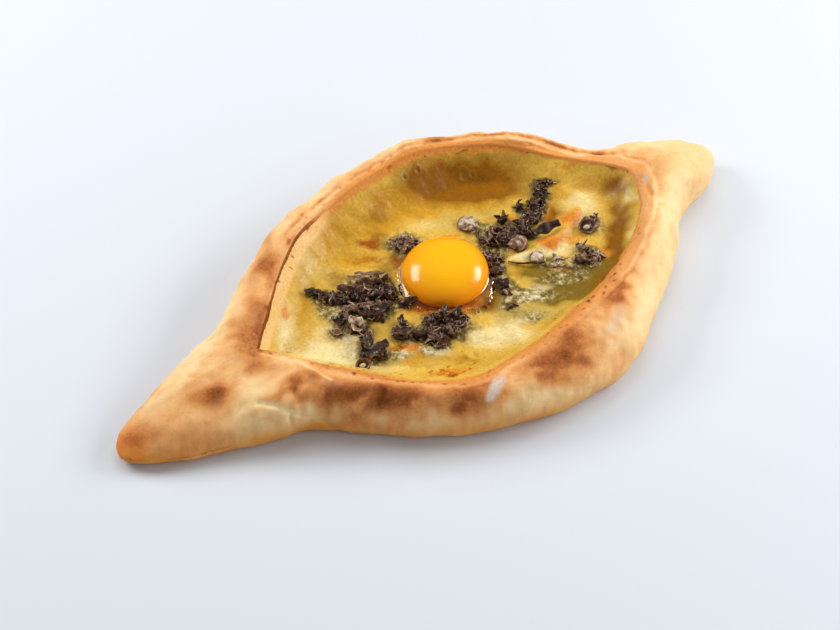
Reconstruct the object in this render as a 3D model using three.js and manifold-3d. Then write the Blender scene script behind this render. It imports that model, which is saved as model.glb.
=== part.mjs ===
// An open khachapuri: a boat of baked bread dough with a pinched tail at each end, filled with
// melted cheese, heaps of chopped mushroom and one raw egg yolk.
//
// Millimetres, +Z up. +X runs along the boat from the long pointed tail to the short blunt one,
// and the origin is on the resting face, under the middle of the boat's box.

import * as THREE from "three";
import { mergeVertices } from "three/addons/utils/BufferGeometryUtils.js";
import Module from "manifold-3d";

const wasm = await Module();
wasm.setup();

// ---------------------------------------------------------------- driving dimensions

const POINTS_ROUND = 88; // points round each ring of the boat, half of them on each side
const GAP = 0.35; // clearance between pieces that touch

// A side of the boat is a leaf edge: widest at `at`, closing at `from` and `to`. A low power
// keeps the edge full towards that end, a high one draws it in.
const OUTER = {
  near: { width: 83, at: 32, from: -98, to: 145, powerFrom: 0.75, powerTo: 1.16 },
  far: { width: 73.5, at: 12, from: -100, to: 130, powerFrom: 0.52, powerTo: 0.89 },
};
const LIP = {
  near: { width: 60.5, at: -8, from: -82, to: 108, powerFrom: 1.16, powerTo: 0.48 },
  far: { width: 58, at: 25, from: -82, to: 108, powerFrom: 0.55, powerTo: 0.84 },
};
const OUTER_AXIS = { y: 1, swing: 5.5, length: 90 }; // the boat is bent like a very shallow S
const LIP_AXIS = { y: 3.7, slope: 0.021 };
const LIP_CUT = { from: -82, slope: 1.13, blend: 12 }; // the far lip runs straight into the corner

// A tail is a cone of dough: `root` is where its full half width starts, `tip` where it ends,
// and `neck` how much narrower it is where it leaves the body.
const TAILS = [
  { root: -80, tip: -151.4, halfWidth: 30, taper: 1.0, nose: 0.5, neck: 0 },
  { root: 105, tip: 154.5, halfWidth: 22.7, taper: 2.0, nose: 0.62, neck: 0.14 },
];
const TAIL_BLEND = 7; // how softly a tail's edge runs into the body's edge

const OPENING_CENTRE = new THREE.Vector2(12, 4);

const CREST_HEIGHT = 25.5; // top of the rolled rim, halfway between the two sides
const CREST_TILT = 1.5; // the far side stands this much higher, the near side this much lower
const LIP_DROP = 2.6; // the inner lip lies this far under the crest
const LIP_DROP_TILT = 1.0; // more on the near side, less on the far one
const LIP_WIDTH = 8.5; // from the inner lip out to the crest
const BULGE_HEIGHT = 8; // level at which the body is widest
const TAIL_BULGE_HEIGHT = 6;
const FOOT_INSET = 5.5; // the resting face lies this far inside the widest line
const LUMP = 0.7; // hand-rolled unevenness of the rim's height
const DIP = { towards: 17, spread: 13, depth: 8, lipShare: 0.4 }; // degrees from +X: slumped here

const FLOOR_HEIGHT = 7; // dough left under the filling
const WALL_RUN = 8; // how far the inner wall leans in from the lip to the floor
const WALL_STEPS = [
  { down: 0, run: 0 },
  { down: 0.35, run: 0.22 },
  { down: 0.75, run: 0.55 },
  { down: 1, run: 1 },
];

const CHEESE_BELOW_LIP = 1.2;
const CHEESE_MIDDLE_HEIGHT = 12.5;
const CHEESE_SLOPE_RUN = 19; // width of the band where the cheese climbs the wall
const CHEESE_RIPPLE = 0.5;
const CHEESE_RINGS = [0.07, 0.15, 0.25, 0.4, 0.65]; // share of the way in

const YOLK = { x: 10.3, y: 2.8, z: 15, radius: 18.9, dome: 9.9, belly: 5.8 };

// Heaps of chopped mushroom: a flat-bottomed mound, `length` along `turn` degrees from +X.
const HEAPS = [
  { name: "mushroom_heap_left", x: -30, y: 10, length: 40, width: 22, turn: -37, height: 6.5 },
  { name: "mushroom_heap_left_low", x: -42, y: -4, length: 13, width: 9, turn: 80, height: 4.5 },
  { name: "mushroom_heap_front_left", x: -31, y: -18, length: 24, width: 11, turn: 5, height: 5 },
  { name: "mushroom_heap_front", x: -6.5, y: -24, length: 24, width: 17, turn: -12, height: 7.5 },
  { name: "mushroom_heap_back_left", x: 4, y: 29, length: 14, width: 11, turn: -42, height: 5.5 },
  { name: "mushroom_heap_back", x: 47, y: 6.5, length: 34, width: 18, turn: -8, height: 6.5 },
  { name: "mushroom_heap_back_right", x: 65, y: 18, length: 18, width: 10, turn: 31, height: 6 },
  { name: "mushroom_heap_right", x: 66, y: -22, length: 21, width: 13, turn: -17, height: 4.5 },
  { name: "mushroom_heap_yolk_side", x: 29, y: -21, length: 15, width: 8, turn: 79, height: 4.5 },
];
const HEAP_SINK = 1.6; // part of a heap that lies under the cheese surface

// Single mushroom pieces as large as a berry: a cap on a short stem end.
const CAPS = [
  { name: "mushroom_cap_grey", x: 35.5, y: 24, radius: 4.6, height: 5 },
  { name: "mushroom_cap_brown", x: 48, y: -10, radius: 4.2, height: 4.2 },
  { name: "mushroom_cap_right", x: 80, y: -5, radius: 4.4, height: 4.4 },
  { name: "mushroom_cap_front", x: -48, y: -26.5, radius: 3.8, height: 4 },
];
const CAP_SINK = 1.2;

// ---------------------------------------------------------------- plan curves

const mix = (a, b, t) => a + (b - a) * t;
const clamp01 = (t) => Math.min(1, Math.max(0, t));

const outerAxisY = (x) => OUTER_AXIS.y + OUTER_AXIS.swing * Math.sin(x / OUTER_AXIS.length);
const lipAxisY = (x) => LIP_AXIS.y + LIP_AXIS.slope * x;

function sideWidth(side, x) {
  const before = x < side.at;
  const end = before ? side.from : side.to;
  const t = (x - side.at) / (end - side.at);
  if (t >= 1) return 0;
  return side.width * Math.cos((t * Math.PI) / 2) ** (before ? side.powerFrom : side.powerTo);
}

function tailWidth(tail, x) {
  const t = (x - tail.root) / (tail.tip - tail.root);
  if (t >= 1) return 0;
  const along = Math.max(t, 0);
  const neck = 1 - tail.neck * (1 - along) ** 3;
  return tail.halfWidth * neck * (1 - along ** tail.taper) ** tail.nose;
}

// The larger of two widths, with the corner where they cross rounded off.
function softMax(a, b, softness) {
  const h = Math.max(softness - Math.abs(a - b), 0) / softness;
  return Math.max(a, b) + (h * h * softness) / 4;
}

const softMin = (a, b, softness) => (softness > 0 ? -softMax(-a, -b, softness) : Math.min(a, b));

function outerPoint(x, side) {
  const tail = TAILS[x < OPENING_CENTRE.x ? 0 : 1];
  const cone = tailWidth(tail, x);
  const softness = Math.min(TAIL_BLEND, cone); // no rounding where the tail closes
  const body = sideWidth(OUTER[side], x);
  const width = softness > 0 ? softMax(body, cone, softness) : 0;
  return new THREE.Vector2(x, outerAxisY(x) + (side === "far" ? width : -width));
}

function lipPoint(x, side) {
  let width = sideWidth(LIP[side], x);
  if (side === "far") {
    const cut = LIP_CUT.slope * (x - LIP_CUT.from);
    width = softMin(width, cut, Math.min(LIP_CUT.blend, cut));
  }
  return new THREE.Vector2(x, lipAxisY(x) + (side === "far" ? width : -width));
}

// A closed curve: anticlockwise, along the near side from low x to high x, back along the far.
function closedCurve(pointAt, low, high, count) {
  const half = count / 2;
  const points = [];
  for (let i = 0; i < count; i++) {
    const side = i < half ? "near" : "far";
    const along = ((i % half) * Math.PI) / half;
    const share = (1 - Math.cos(along)) / 2;
    points.push(pointAt(side === "near" ? mix(low, high, share) : mix(high, low, share), side));
  }
  return points;
}

// Direction of a plan point, seen from the middle of the opening, in 0 to 2 pi.
function direction(p) {
  const angle = Math.atan2(p.y - OPENING_CENTRE.y, p.x - OPENING_CENTRE.x);
  return angle < 0 ? angle + 2 * Math.PI : angle;
}

// How far from the middle a closed curve is in one direction.
function reachOf(curve) {
  const table = curve
    .map((p) => ({ angle: direction(p), reach: p.distanceTo(OPENING_CENTRE) }))
    .sort((a, b) => a.angle - b.angle);
  const first = table[0];
  const last = table[table.length - 1];
  table.unshift({ angle: last.angle - 2 * Math.PI, reach: last.reach });
  table.push({ angle: first.angle + 2 * Math.PI, reach: first.reach });
  return (angle) => {
    const i = table.findIndex((row) => row.angle >= angle);
    const [a, b] = [table[i - 1], table[i]];
    return mix(a.reach, b.reach, (angle - a.angle) / (b.angle - a.angle));
  };
}

// Moves each point of a closed plan curve inwards, square to the curve.
function inset(curve, distance) {
  return curve.map((p, i) => {
    const before = curve[(i + curve.length - 1) % curve.length];
    const after = curve[(i + 1) % curve.length];
    const tangent = new THREE.Vector2().subVectors(after, before).normalize();
    return new THREE.Vector2(p.x - tangent.y * distance, p.y + tangent.x * distance);
  });
}

// ---------------------------------------------------------------- the boat's sections

const OUTLINE = closedCurve(outerPoint, TAILS[0].tip, TAILS[1].tip, POINTS_ROUND);
const FOOT = inset(OUTLINE, FOOT_INSET);
const lipReach = reachOf(closedCurve(lipPoint, LIP.near.from, LIP.near.to, 4 * POINTS_ROUND));

// Heights of the rolled rim in one direction from the middle of the opening.
function rimHeights(angle) {
  const tilt = Math.sin(angle);
  const lump = LUMP * Math.sin(5 * angle + 1) + 0.6 * LUMP * Math.sin(11 * angle);
  const offDip = THREE.MathUtils.radToDeg(angle) - DIP.towards;
  const dip = DIP.depth * Math.exp(-((offDip / DIP.spread) ** 2));
  const level = CREST_HEIGHT + CREST_TILT * tilt + lump;
  const lip = level - LIP_DROP + LIP_DROP_TILT * tilt - DIP.lipShare * dip;
  return { crest: level - dip, lip };
}

// Level of the melted cheese, `distance` in from the lip, in one direction.
function cheeseLevel(angle, distance, plan) {
  const edge = rimHeights(angle).lip - CHEESE_BELOW_LIP;
  const climb = clamp01(1 - distance / CHEESE_SLOPE_RUN) ** 2;
  const ripple = CHEESE_RIPPLE * Math.sin(plan.x / 9) * Math.cos(plan.y / 7 + 1) * (1 - climb);
  return mix(CHEESE_MIDDLE_HEIGHT, edge, climb) + ripple;
}

function cheeseLevelAt(x, y) {
  const plan = new THREE.Vector2(x, y);
  const angle = direction(plan);
  return cheeseLevel(angle, lipReach(angle) - plan.distanceTo(OPENING_CENTRE), plan);
}

// Everything the rings need to know about the direction of one point of the outline.
const STATIONS = OUTLINE.map((outer, i) => {
  const angle = direction(outer);
  const inward = new THREE.Vector2().subVectors(OPENING_CENTRE, outer).normalize();
  const reach = lipReach(angle);
  const rim = outer.distanceTo(OPENING_CENTRE) - reach;
  const lipWidth = Math.min(LIP_WIDTH, 0.45 * rim);
  const tailness = clamp01((rim - 30) / 25);
  const { crest, lip } = rimHeights(angle);
  return {
    outer,
    foot: FOOT[i],
    angle,
    inward,
    reach,
    tailness,
    crest: OPENING_CENTRE.clone().addScaledVector(inward, -(reach + lipWidth)),
    crestZ: crest,
    lipZ: lip,
    bulgeZ: mix(BULGE_HEIGHT, TAIL_BULGE_HEIGHT, tailness),
  };
});

const inFrom = (station, distance) =>
  OPENING_CENTRE.clone().addScaledVector(station.inward, distance - station.reach);

const at = (plan, z) => new THREE.Vector3(plan.x, plan.y, z);

// Under the widest line: a quarter round from the resting face out to the bulge.
function underRing(share) {
  const a = (share * Math.PI) / 2;
  return STATIONS.map((s) =>
    at(s.foot.clone().lerp(s.outer, Math.sin(a)), s.bulgeZ * (1 - Math.cos(a))),
  );
}

// Over the widest line: a round shoulder on the sides, a longer and flatter one on the tails.
function shoulderRing(share) {
  const out = Math.cos((share * Math.PI) / 2);
  return STATIONS.map((s) => {
    const bend = mix(2, 1.5, s.tailness);
    const fall = mix(0.5, 0.75, s.tailness);
    const rise = (1 - out ** bend) ** fall;
    return at(s.crest.clone().lerp(s.outer, out), mix(s.bulgeZ, s.crestZ, rise));
  });
}

// From the crest in to the lip.
function lipRing(share) {
  return STATIONS.map((s) => {
    const plan = s.crest.clone().lerp(inFrom(s, 0), share);
    return at(plan, mix(s.crestZ, s.lipZ, share * share));
  });
}

const wallRing = (step, clearance, floorZ) =>
  STATIONS.map((s) =>
    at(inFrom(s, WALL_RUN * step.run + clearance), mix(s.lipZ, floorZ, step.down)),
  );

function cheeseRing(share, least) {
  return STATIONS.map((s) => {
    const distance = Math.max(share * s.reach, least);
    const plan = inFrom(s, distance);
    return at(plan, cheeseLevel(s.angle, distance, plan));
  });
}

// ---------------------------------------------------------------- solids

// A closed skin over a stack of rings, from the middle of its underside to the middle of its top.
function skin(rings, bottom, top) {
  const count = rings[0].length;
  const points = [bottom, ...rings.flat(), top];
  const index = [];
  for (let i = 0; i < count; i++) {
    const next = (i + 1) % count;
    index.push(0, 1 + next, 1 + i);
    for (let r = 0; r + 1 < rings.length; r++) {
      const [low, high] = [1 + r * count, 1 + (r + 1) * count];
      index.push(low + i, low + next, high + next, low + i, high + next, high + i);
    }
    const last = 1 + (rings.length - 1) * count;
    index.push(points.length - 1, last + i, last + next);
  }
  const geometry = new THREE.BufferGeometry().setFromPoints(points);
  geometry.setIndex(index);
  return geometry;
}

// The same geometry as a manifold solid, for cutting.
function solidOf(geometry) {
  const bare = geometry.clone();
  bare.deleteAttribute("normal");
  bare.deleteAttribute("uv");
  const merged = mergeVertices(bare, 1e-3);
  return new wasm.Manifold(
    new wasm.Mesh({
      numProp: 3,
      vertProperties: merged.attributes.position.array,
      triVerts: new Uint32Array(merged.index.array),
    }),
  );
}

function geometryOf(solid) {
  const mesh = solid.getMesh();
  const geometry = new THREE.BufferGeometry();
  geometry.setAttribute("position", new THREE.BufferAttribute(mesh.vertProperties, 3));
  geometry.setIndex(new THREE.BufferAttribute(mesh.triVerts, 1));
  return geometry;
}

function breadGeometry() {
  const rings = [
    ...[0, 0.4, 0.75].map(underRing),
    ...[0, 0.2, 0.4, 0.6, 0.8, 1].map(shoulderRing),
    ...[0.6, 1].map(lipRing),
    ...WALL_STEPS.slice(1).map((step) => wallRing(step, 0, FLOOR_HEIGHT)),
  ];
  return skin(rings, at(OPENING_CENTRE, 0), at(OPENING_CENTRE, FLOOR_HEIGHT));
}

function cheeseGeometry() {
  const clearance = 2 * GAP; // measured towards the middle, so the slanting wall keeps its gap
  const bottomZ = FLOOR_HEIGHT + GAP;
  const [, ...below] = WALL_STEPS.map((step) => wallRing(step, clearance, bottomZ));
  const edgeRun = (CHEESE_BELOW_LIP / (CREST_HEIGHT - FLOOR_HEIGHT)) * WALL_RUN;
  const rings = [
    ...below.reverse(),
    cheeseRing(0, edgeRun + clearance),
    ...CHEESE_RINGS.map((share) => cheeseRing(share, 0)),
  ];
  return skin(rings, at(OPENING_CENTRE, bottomZ), at(OPENING_CENTRE, CHEESE_MIDDLE_HEIGHT));
}

// A yolk sits on the cheese as a flattened drop, rounder above its widest line than below it.
function yolkGeometry(grow) {
  const steps = 10;
  const profile = [];
  for (let i = 0; i <= steps; i++) {
    const a = mix(-Math.PI / 2, Math.PI / 2, i / steps);
    const height = (a < 0 ? YOLK.belly : YOLK.dome) + grow;
    profile.push(new THREE.Vector2((YOLK.radius + grow) * Math.cos(a), height * Math.sin(a)));
  }
  profile[0].x = 0;
  profile[steps].x = 0;
  return new THREE.LatheGeometry(profile, 28).rotateX(Math.PI / 2).translate(YOLK.x, YOLK.y, YOLK.z);
}

// A mound with an uneven outline, standing on a flat underside sunk a little into the cheese.
function heapGeometry(heap, grow) {
  const geometry = new THREE.IcosahedronGeometry(1, heap.length > 26 ? 3 : 2);
  const place = geometry.attributes.position;
  const phase = heap.x * 0.7 + heap.y;
  const v = new THREE.Vector3();
  for (let i = 0; i < place.count; i++) {
    v.fromBufferAttribute(place, i);
    const around = Math.atan2(v.y, v.x);
    const uneven = 1 + 0.1 * Math.sin(3 * around + phase) + 0.07 * Math.sin(5 * around - phase);
    const rough = 1 + 0.12 * Math.sin(7 * v.x + phase) * Math.sin(6 * v.y - phase);
    v.x *= (heap.length / 2) * uneven + grow;
    v.y *= (heap.width / 2) * uneven + grow;
    v.z *= v.z > 0 ? heap.height * rough + grow : HEAP_SINK + grow;
    place.setXYZ(i, v.x, v.y, v.z);
  }
  return geometry
    .rotateZ(THREE.MathUtils.degToRad(heap.turn))
    .translate(heap.x, heap.y, cheeseLevelAt(heap.x, heap.y));
}

// A cap: a shallow dome with a rolled edge over a narrower stem end.
function capGeometry(cap, grow) {
  const edge = cap.radius + grow;
  const profile = [
    new THREE.Vector2(0, -CAP_SINK - grow),
    new THREE.Vector2(0.55 * cap.radius + grow, -CAP_SINK - grow),
    new THREE.Vector2(0.62 * cap.radius + grow, 0.28 * cap.height - grow),
    new THREE.Vector2(0.95 * cap.radius + grow, 0.36 * cap.height - grow),
    new THREE.Vector2(edge, 0.52 * cap.height),
    new THREE.Vector2(0.84 * edge, 0.78 * cap.height + grow),
    new THREE.Vector2(0.48 * edge, 0.95 * cap.height + grow),
    new THREE.Vector2(0, cap.height + grow),
  ];
  return new THREE.LatheGeometry(profile, 12)
    .rotateX(Math.PI / 2)
    .translate(cap.x, cap.y, cheeseLevelAt(cap.x, cap.y));
}

// ---------------------------------------------------------------- pieces

const bakedDough = new THREE.MeshStandardMaterial({ color: 0xe3bd84, roughness: 0.75 });
const meltedCheese = new THREE.MeshStandardMaterial({ color: 0xd9bd62, roughness: 0.4 });
const rawYolk = new THREE.MeshStandardMaterial({ color: 0xf5a800, roughness: 0.1 });
const cookedMushroom = new THREE.MeshStandardMaterial({ color: 0x4a372c, roughness: 0.5 });

const khachapuri = new THREE.Group();

function addPiece(name, geometry, material) {
  const mesh = new THREE.Mesh(geometry, material);
  mesh.name = name;
  khachapuri.add(mesh);
}

const bread = breadGeometry();
const yolkRoom = solidOf(yolkGeometry(GAP));
const toppings = [
  ...HEAPS.map((heap) => ({ name: heap.name, make: (grow) => heapGeometry(heap, grow) })),
  ...CAPS.map((cap) => ({ name: cap.name, make: (grow) => capGeometry(cap, grow) })),
];

let cheese = solidOf(cheeseGeometry()).subtract(yolkRoom);
for (const topping of toppings) {
  cheese = cheese.subtract(solidOf(topping.make(GAP)));
}

addPiece("bread", bread, bakedDough);
addPiece("cheese", geometryOf(cheese), meltedCheese);
addPiece("yolk", yolkGeometry(0), rawYolk);
for (const topping of toppings) {
  const clear = solidOf(topping.make(0)).subtract(yolkRoom);
  addPiece(topping.name, geometryOf(clear), cookedMushroom);
}

// The origin goes under the middle of the bread, which is the widest piece.
bread.computeBoundingBox();
const middle = bread.boundingBox.getCenter(new THREE.Vector3());
khachapuri.position.set(-middle.x, -middle.y, 0);

export default khachapuri;
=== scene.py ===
"""Looks of an open khachapuri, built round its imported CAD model.

The boat of baked dough, its melted cheese, the yolk, the egg white round it and the chopped
mushrooms are meshes at their real size. The tables are in millimetres and degrees: +X runs from
the long pointed tail to the short blunt one, +Z is up from the resting face, and their origin is
at TABLE_ORIGIN. A direction is an angle round the middle of the opening, from +X.
"""

import math

import bpy
import numpy as np
from bpy.props import FloatProperty, FloatVectorProperty, IntProperty, PointerProperty
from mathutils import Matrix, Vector


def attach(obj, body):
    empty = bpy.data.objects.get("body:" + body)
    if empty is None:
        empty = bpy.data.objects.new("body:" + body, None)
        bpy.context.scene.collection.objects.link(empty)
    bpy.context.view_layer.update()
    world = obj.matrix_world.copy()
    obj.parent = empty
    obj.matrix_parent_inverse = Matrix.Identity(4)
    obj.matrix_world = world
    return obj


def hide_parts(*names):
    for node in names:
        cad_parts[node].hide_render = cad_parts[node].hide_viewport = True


bl_info = {
    "name": "Open khachapuri",
    "version": (1, 0, 0),
    "blender": (4, 5, 0),
    "location": "3D View > Sidebar > Khachapuri",
    "description": "Crust, melted cheese, yolk and mushrooms round the packed khachapuri",
    "category": "Object",
}

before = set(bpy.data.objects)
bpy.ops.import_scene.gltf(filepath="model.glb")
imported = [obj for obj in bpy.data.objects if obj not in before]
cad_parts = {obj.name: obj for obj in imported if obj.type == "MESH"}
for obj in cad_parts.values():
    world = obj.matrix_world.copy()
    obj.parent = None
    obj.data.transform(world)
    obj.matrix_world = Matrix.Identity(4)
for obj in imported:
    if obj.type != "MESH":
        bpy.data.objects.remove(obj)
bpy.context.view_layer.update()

MM = 0.001
TABLE_ORIGIN = np.array([0, 0.65, 0])  # in the model's frame, in millimetres

# ---------------------------------------------------------------- shape of the boat

OPENING = np.array([10.45, 5.845])  # every section is measured from here, in plan
# Half width, widest x, low end, high end, fullness towards the low end and the high end.
OUTER = {
    "near": (83.0, 30.45, -99.55, 143.45, 0.75, 1.16),
    "far": (73.5, 10.45, -101.55, 128.45, 0.52, 0.89),
}
LIP = {
    "near": (60.5, -9.55, -83.55, 106.45, 1.16, 0.48),
    "far": (58.0, 23.45, -83.55, 106.45, 0.55, 0.84),
}
# Middle lines that the half widths are measured from. The outer one sways along the boat: its y,
# how far it sways, the x where it crosses that y, and the wave's length over 2 pi. The lip's is
# straight: its y where x is 0, and its slope.
OUTER_AXIS = (2.845, 5.5, -1.55, 90)
LIP_AXIS = (5.578, 0.021)
LIP_CUT_SLOPE = 1.13  # the far lip runs straight into the left corner
LIP_CUT_BLEND = 12.0
# Root, tip, half width, taper, how blunt the nose is, and how much narrower the neck is.
TAILS = ((-81.55, -152.95, 30.0, 1.0, 0.5, 0.0), (103.45, 152.95, 22.7, 2.0, 0.62, 0.14))
TAIL_BLEND = 7.0
LIP_WIDTH = 8.5
FLOOR_HEIGHT = 7.0
WALL_RUN = 8.0
CHEESE_LEVEL = 12.5
CHEESE_BELOW_LIP = 0.5
WALL_CURVE = 1.35
RIM_HEIGHT = 25.5
LIP_BELOW_CREST = 2.6
SLUMP = (8, 17, 13)  # where the rim sank: depth, direction and half width
FOOT_INSET = 5.5  # from the boat's widest line in to the edge that it rests on
CHEESE_OVERLAP = 0.7  # how far the cheese runs into the crust at the lip


def leaf_width(leaf, x):
    """Half width at x of a leaf-shaped edge."""
    width, widest, low, high, low_power, high_power = leaf
    before = x < widest
    along = np.clip((x - widest) / (np.where(before, low, high) - widest), 0, 1)
    return width * np.cos(along * np.pi / 2) ** np.where(before, low_power, high_power)


def tail_width(tail, x):
    """Half width at x of a cone of dough that closes in a round nose."""
    root, tip, half_width, taper, nose, neck = tail
    along = np.clip((x - root) / (tip - root), 0, 1)
    return half_width * (1 - neck * (1 - along) ** 3) * (1 - along**taper) ** nose


def soft_max(a, b, softness):
    """The larger of two widths, with the corner where they cross rounded off."""
    softness = np.maximum(softness, 1e-6)
    blend = np.clip(1 - np.abs(a - b) / softness, 0, 1)
    return np.maximum(a, b) + blend**2 * softness / 4


def outer_edge(side, x):
    """Plan y of the boat's widest line."""
    cone = np.where(x < OPENING[0], tail_width(TAILS[0], x), tail_width(TAILS[1], x))
    width = soft_max(leaf_width(OUTER[side], x), cone, np.minimum(TAIL_BLEND, cone))
    middle, sway, crossing, wave = OUTER_AXIS
    axis = middle + sway * np.sin((x - crossing) / wave)
    return axis + (width if side == "far" else -width)


def lip_edge(side, x):
    """Plan y of the inner lip."""
    width = leaf_width(LIP[side], x)
    if side == "far":
        cut = LIP_CUT_SLOPE * (x - LIP[side][2])
        width = -soft_max(-width, -cut, np.minimum(LIP_CUT_BLEND, cut))
    axis = LIP_AXIS[0] + LIP_AXIS[1] * x
    return axis + (width if side == "far" else -width)


def closed_edge(edge, low, high, count):
    """Plan points of an edge, anticlockwise: along the near side and back along the far one."""
    share = (1 - np.cos(np.arange(count // 2) * 2 * np.pi / count)) / 2
    near_x, far_x = low + (high - low) * share, high + (low - high) * share
    near = np.stack([near_x, edge("near", near_x)], axis=1)
    far = np.stack([far_x, edge("far", far_x)], axis=1)
    return np.concatenate([near, far])


def spaced_evenly(curve, count):
    """The same closed curve with its points an even distance apart."""
    closed = np.vstack([curve, curve[:1]])
    steps = np.linalg.norm(np.diff(closed, axis=0), axis=1)
    lengths = np.concatenate([[0], np.cumsum(steps)])
    wanted = np.arange(count) * lengths[-1] / count
    return np.stack([np.interp(wanted, lengths, closed[:, k]) for k in (0, 1)], axis=1)


def direction_of(plan):
    """Direction of plan points from the middle of the opening, from 0 to 2 pi."""
    return np.arctan2(plan[:, 1] - OPENING[1], plan[:, 0] - OPENING[0]) % (2 * np.pi)


LIP_CURVE = closed_edge(lip_edge, LIP["near"][2], LIP["near"][3], 2000)
LIP_TURN = direction_of(LIP_CURVE)
LIP_ORDER = np.argsort(LIP_TURN)


def lip_reach(turn):
    """How far the inner lip is from the middle of the opening, in each direction."""
    reach = np.linalg.norm(LIP_CURVE - OPENING, axis=1)[LIP_ORDER]
    return np.interp(turn, LIP_TURN[LIP_ORDER], reach, period=2 * np.pi)


def round_table(turn, table):
    """Value at each direction from a table of (degrees, value), joined by straight lines."""
    degrees, values = np.array(table, float).T
    return np.interp(np.degrees(turn), degrees, values, period=360)


def round_columns(turn, table):
    """The second and the third column of a table by degrees, at each direction."""
    rows = np.array(table, float)
    return [round_table(turn, rows[:, [0, column]]) for column in (1, 2)]


def rim_heights(turn):
    """Height of the rim's crest and of its inner lip, in each direction."""
    lean = np.sin(turn)
    level = RIM_HEIGHT + 1.5 * lean + 0.7 * np.sin(5 * turn + 1) + 0.42 * np.sin(11 * turn)
    depth, direction, half_width = SLUMP
    slump = depth * bell(np.degrees(turn) - direction, half_width)
    return level - slump, level - LIP_BELOW_CREST + lean - 0.4 * slump


# How far from the lip the cheese wall reaches in to its foot, by direction.
WALL_FOOT = (
    (0, 13), (25, 13), (50, 15), (75, 18), (105, 18), (130, 16), (160, 14), (200, 14), (240, 16),
    (300, 16), (335, 13),
)
# How far in from the lip the crust soaked the cheese to an orange rind, by direction.
RIND_WIDTH = (
    (0, 1.0), (20, 1.4), (45, 2.4), (60, 2.0), (85, 2.6), (110, 3.0), (125, 2.4), (135, 1.6),
    (190, 1.6), (200, 2.6), (208, 4.6), (225, 4.2), (245, 3.4), (265, 2.6), (290, 2.4), (305, 3.0),
    (316, 3.0), (328, 2.4), (342, 1.4),
)
# Left lip, where the crust ends in a crease darkened with painted shade and a pale strip of dough
# lies inside it, by direction: 1 where it does.
LEFT_LIP = ((118, 0), (134, 1), (184, 1), (194, 0))
# Lip soaked with butter, by direction: the section that it starts at, between 3 at the crest and
# 4 at the lip, and how strong it is.
BUTTER = (
    (0, 3.3, 0.5), (20, 3.45, 0.7), (45, 3.62, 0.85), (90, 3.62, 0.85), (118, 3.68, 0.7),
    (132, 3.9, 0.0), (188, 3.9, 0.0), (200, 3.8, 0.6), (236, 3.8, 0.75), (255, 3.72, 0.8),
    (275, 3.68, 0.8), (295, 3.5, 0.7), (310, 3.45, 0.65), (330, 3.4, 0.6),
)


def ripples(points, wavelength, seed, count=20):
    """Seeded smooth unevenness, mostly between -1 and 1, from sine waves in all directions."""
    draw = np.random.default_rng(seed)
    ways = draw.normal(size=(count, points.shape[1]))
    ways /= np.linalg.norm(ways, axis=1)[:, None]
    lengths = wavelength * draw.uniform(0.7, 1.5, count)
    phases = draw.uniform(0, 2 * np.pi, count)
    waves = np.sin(points @ (ways.T * 2 * np.pi / lengths) + phases)
    return waves.sum(axis=1) / math.sqrt(count)


def ripples_each_way(points, wavelength, seeds):
    """Unevenness in every direction at once, each with its own seed."""
    return np.stack([ripples(points, wavelength, seed) for seed in seeds], axis=1)


def bell(distance, width):
    """1 where the distance is 0, falling off smoothly over the width."""
    return np.exp(-((distance / width) ** 2))


def soft_patches(points, patches):
    """Sum of soft-edged patches, each x, y, z, half length, half width, turn, strength."""
    total = np.zeros(len(points))
    for x, y, z, half_length, half_width, turn, strength in patches:
        offset = points - (x, y, z)
        way = (math.cos(math.radians(turn)), math.sin(math.radians(turn)), 0)
        lengthwise = offset @ way
        crosswise = (offset**2).sum(axis=1) - lengthwise**2
        share = (lengthwise / half_length) ** 2 + crosswise / half_width**2
        total += strength * np.exp(-(share**1.25))
    return total


def distance_to_path(points, path):
    """Distance from each point to a bent line."""
    nearest = np.full(len(points), np.inf)
    for start, end in zip(np.array(path[:-1], float), np.array(path[1:], float)):
        way = end - start
        share = np.clip((points - start) @ way / (way @ way), 0, 1)
        gap = np.linalg.norm(points - start - share[:, None] * way, axis=1)
        nearest = np.minimum(nearest, gap)
    return nearest


def smooth_step(low, high, value):
    """0 below low, 1 above high, and a smooth rise between."""
    share = np.clip((value - low) / (high - low), 0, 1)
    return share * share * (3 - 2 * share)


def lip_distance(plan):
    """How far in from the lip plan points are, measured towards the middle."""
    return lip_reach(direction_of(plan)) - np.linalg.norm(plan - OPENING, axis=1)


def cheese_level(plan):
    """Height of the calm cheese surface at plan points, without its bubbles and ridges."""
    turn = direction_of(plan)
    edge = rim_heights(turn)[1] - CHEESE_BELOW_LIP
    climb = np.clip(1 - lip_distance(plan) / round_table(turn, WALL_FOOT), 0, 1) ** WALL_CURVE
    return CHEESE_LEVEL + (edge - CHEESE_LEVEL) * climb


# ---------------------------------------------------------------- meshes


def grid_faces(rings, stations):
    """Quads between rings of points that each close on themselves."""
    ring, station = np.meshgrid(np.arange(rings - 1), np.arange(stations), indexing="ij")
    following = (station + 1) % stations
    low, high = ring * stations, (ring + 1) * stations
    quads = np.stack([low + station, low + following, high + following, high + station], axis=-1)
    return quads.reshape(-1, 4)


def fan_faces(centre, ring, outwards):
    """Triangles from a middle point to a ring of points."""
    following = np.roll(ring, -1)
    pair = (ring, following) if outwards else (following, ring)
    return np.stack([np.full(len(ring), centre), *pair], axis=1)


def closed_faces(rings, stations):
    """Faces of a grid closed by two fans, whose middle points follow the grid's: low, high."""
    first = np.arange(stations)
    low, last = rings * stations, first + (rings - 1) * stations
    faces = grid_faces(rings, stations).tolist()
    return faces + fan_faces(low, first, False).tolist() + fan_faces(low + 1, last, True).tolist()


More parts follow.
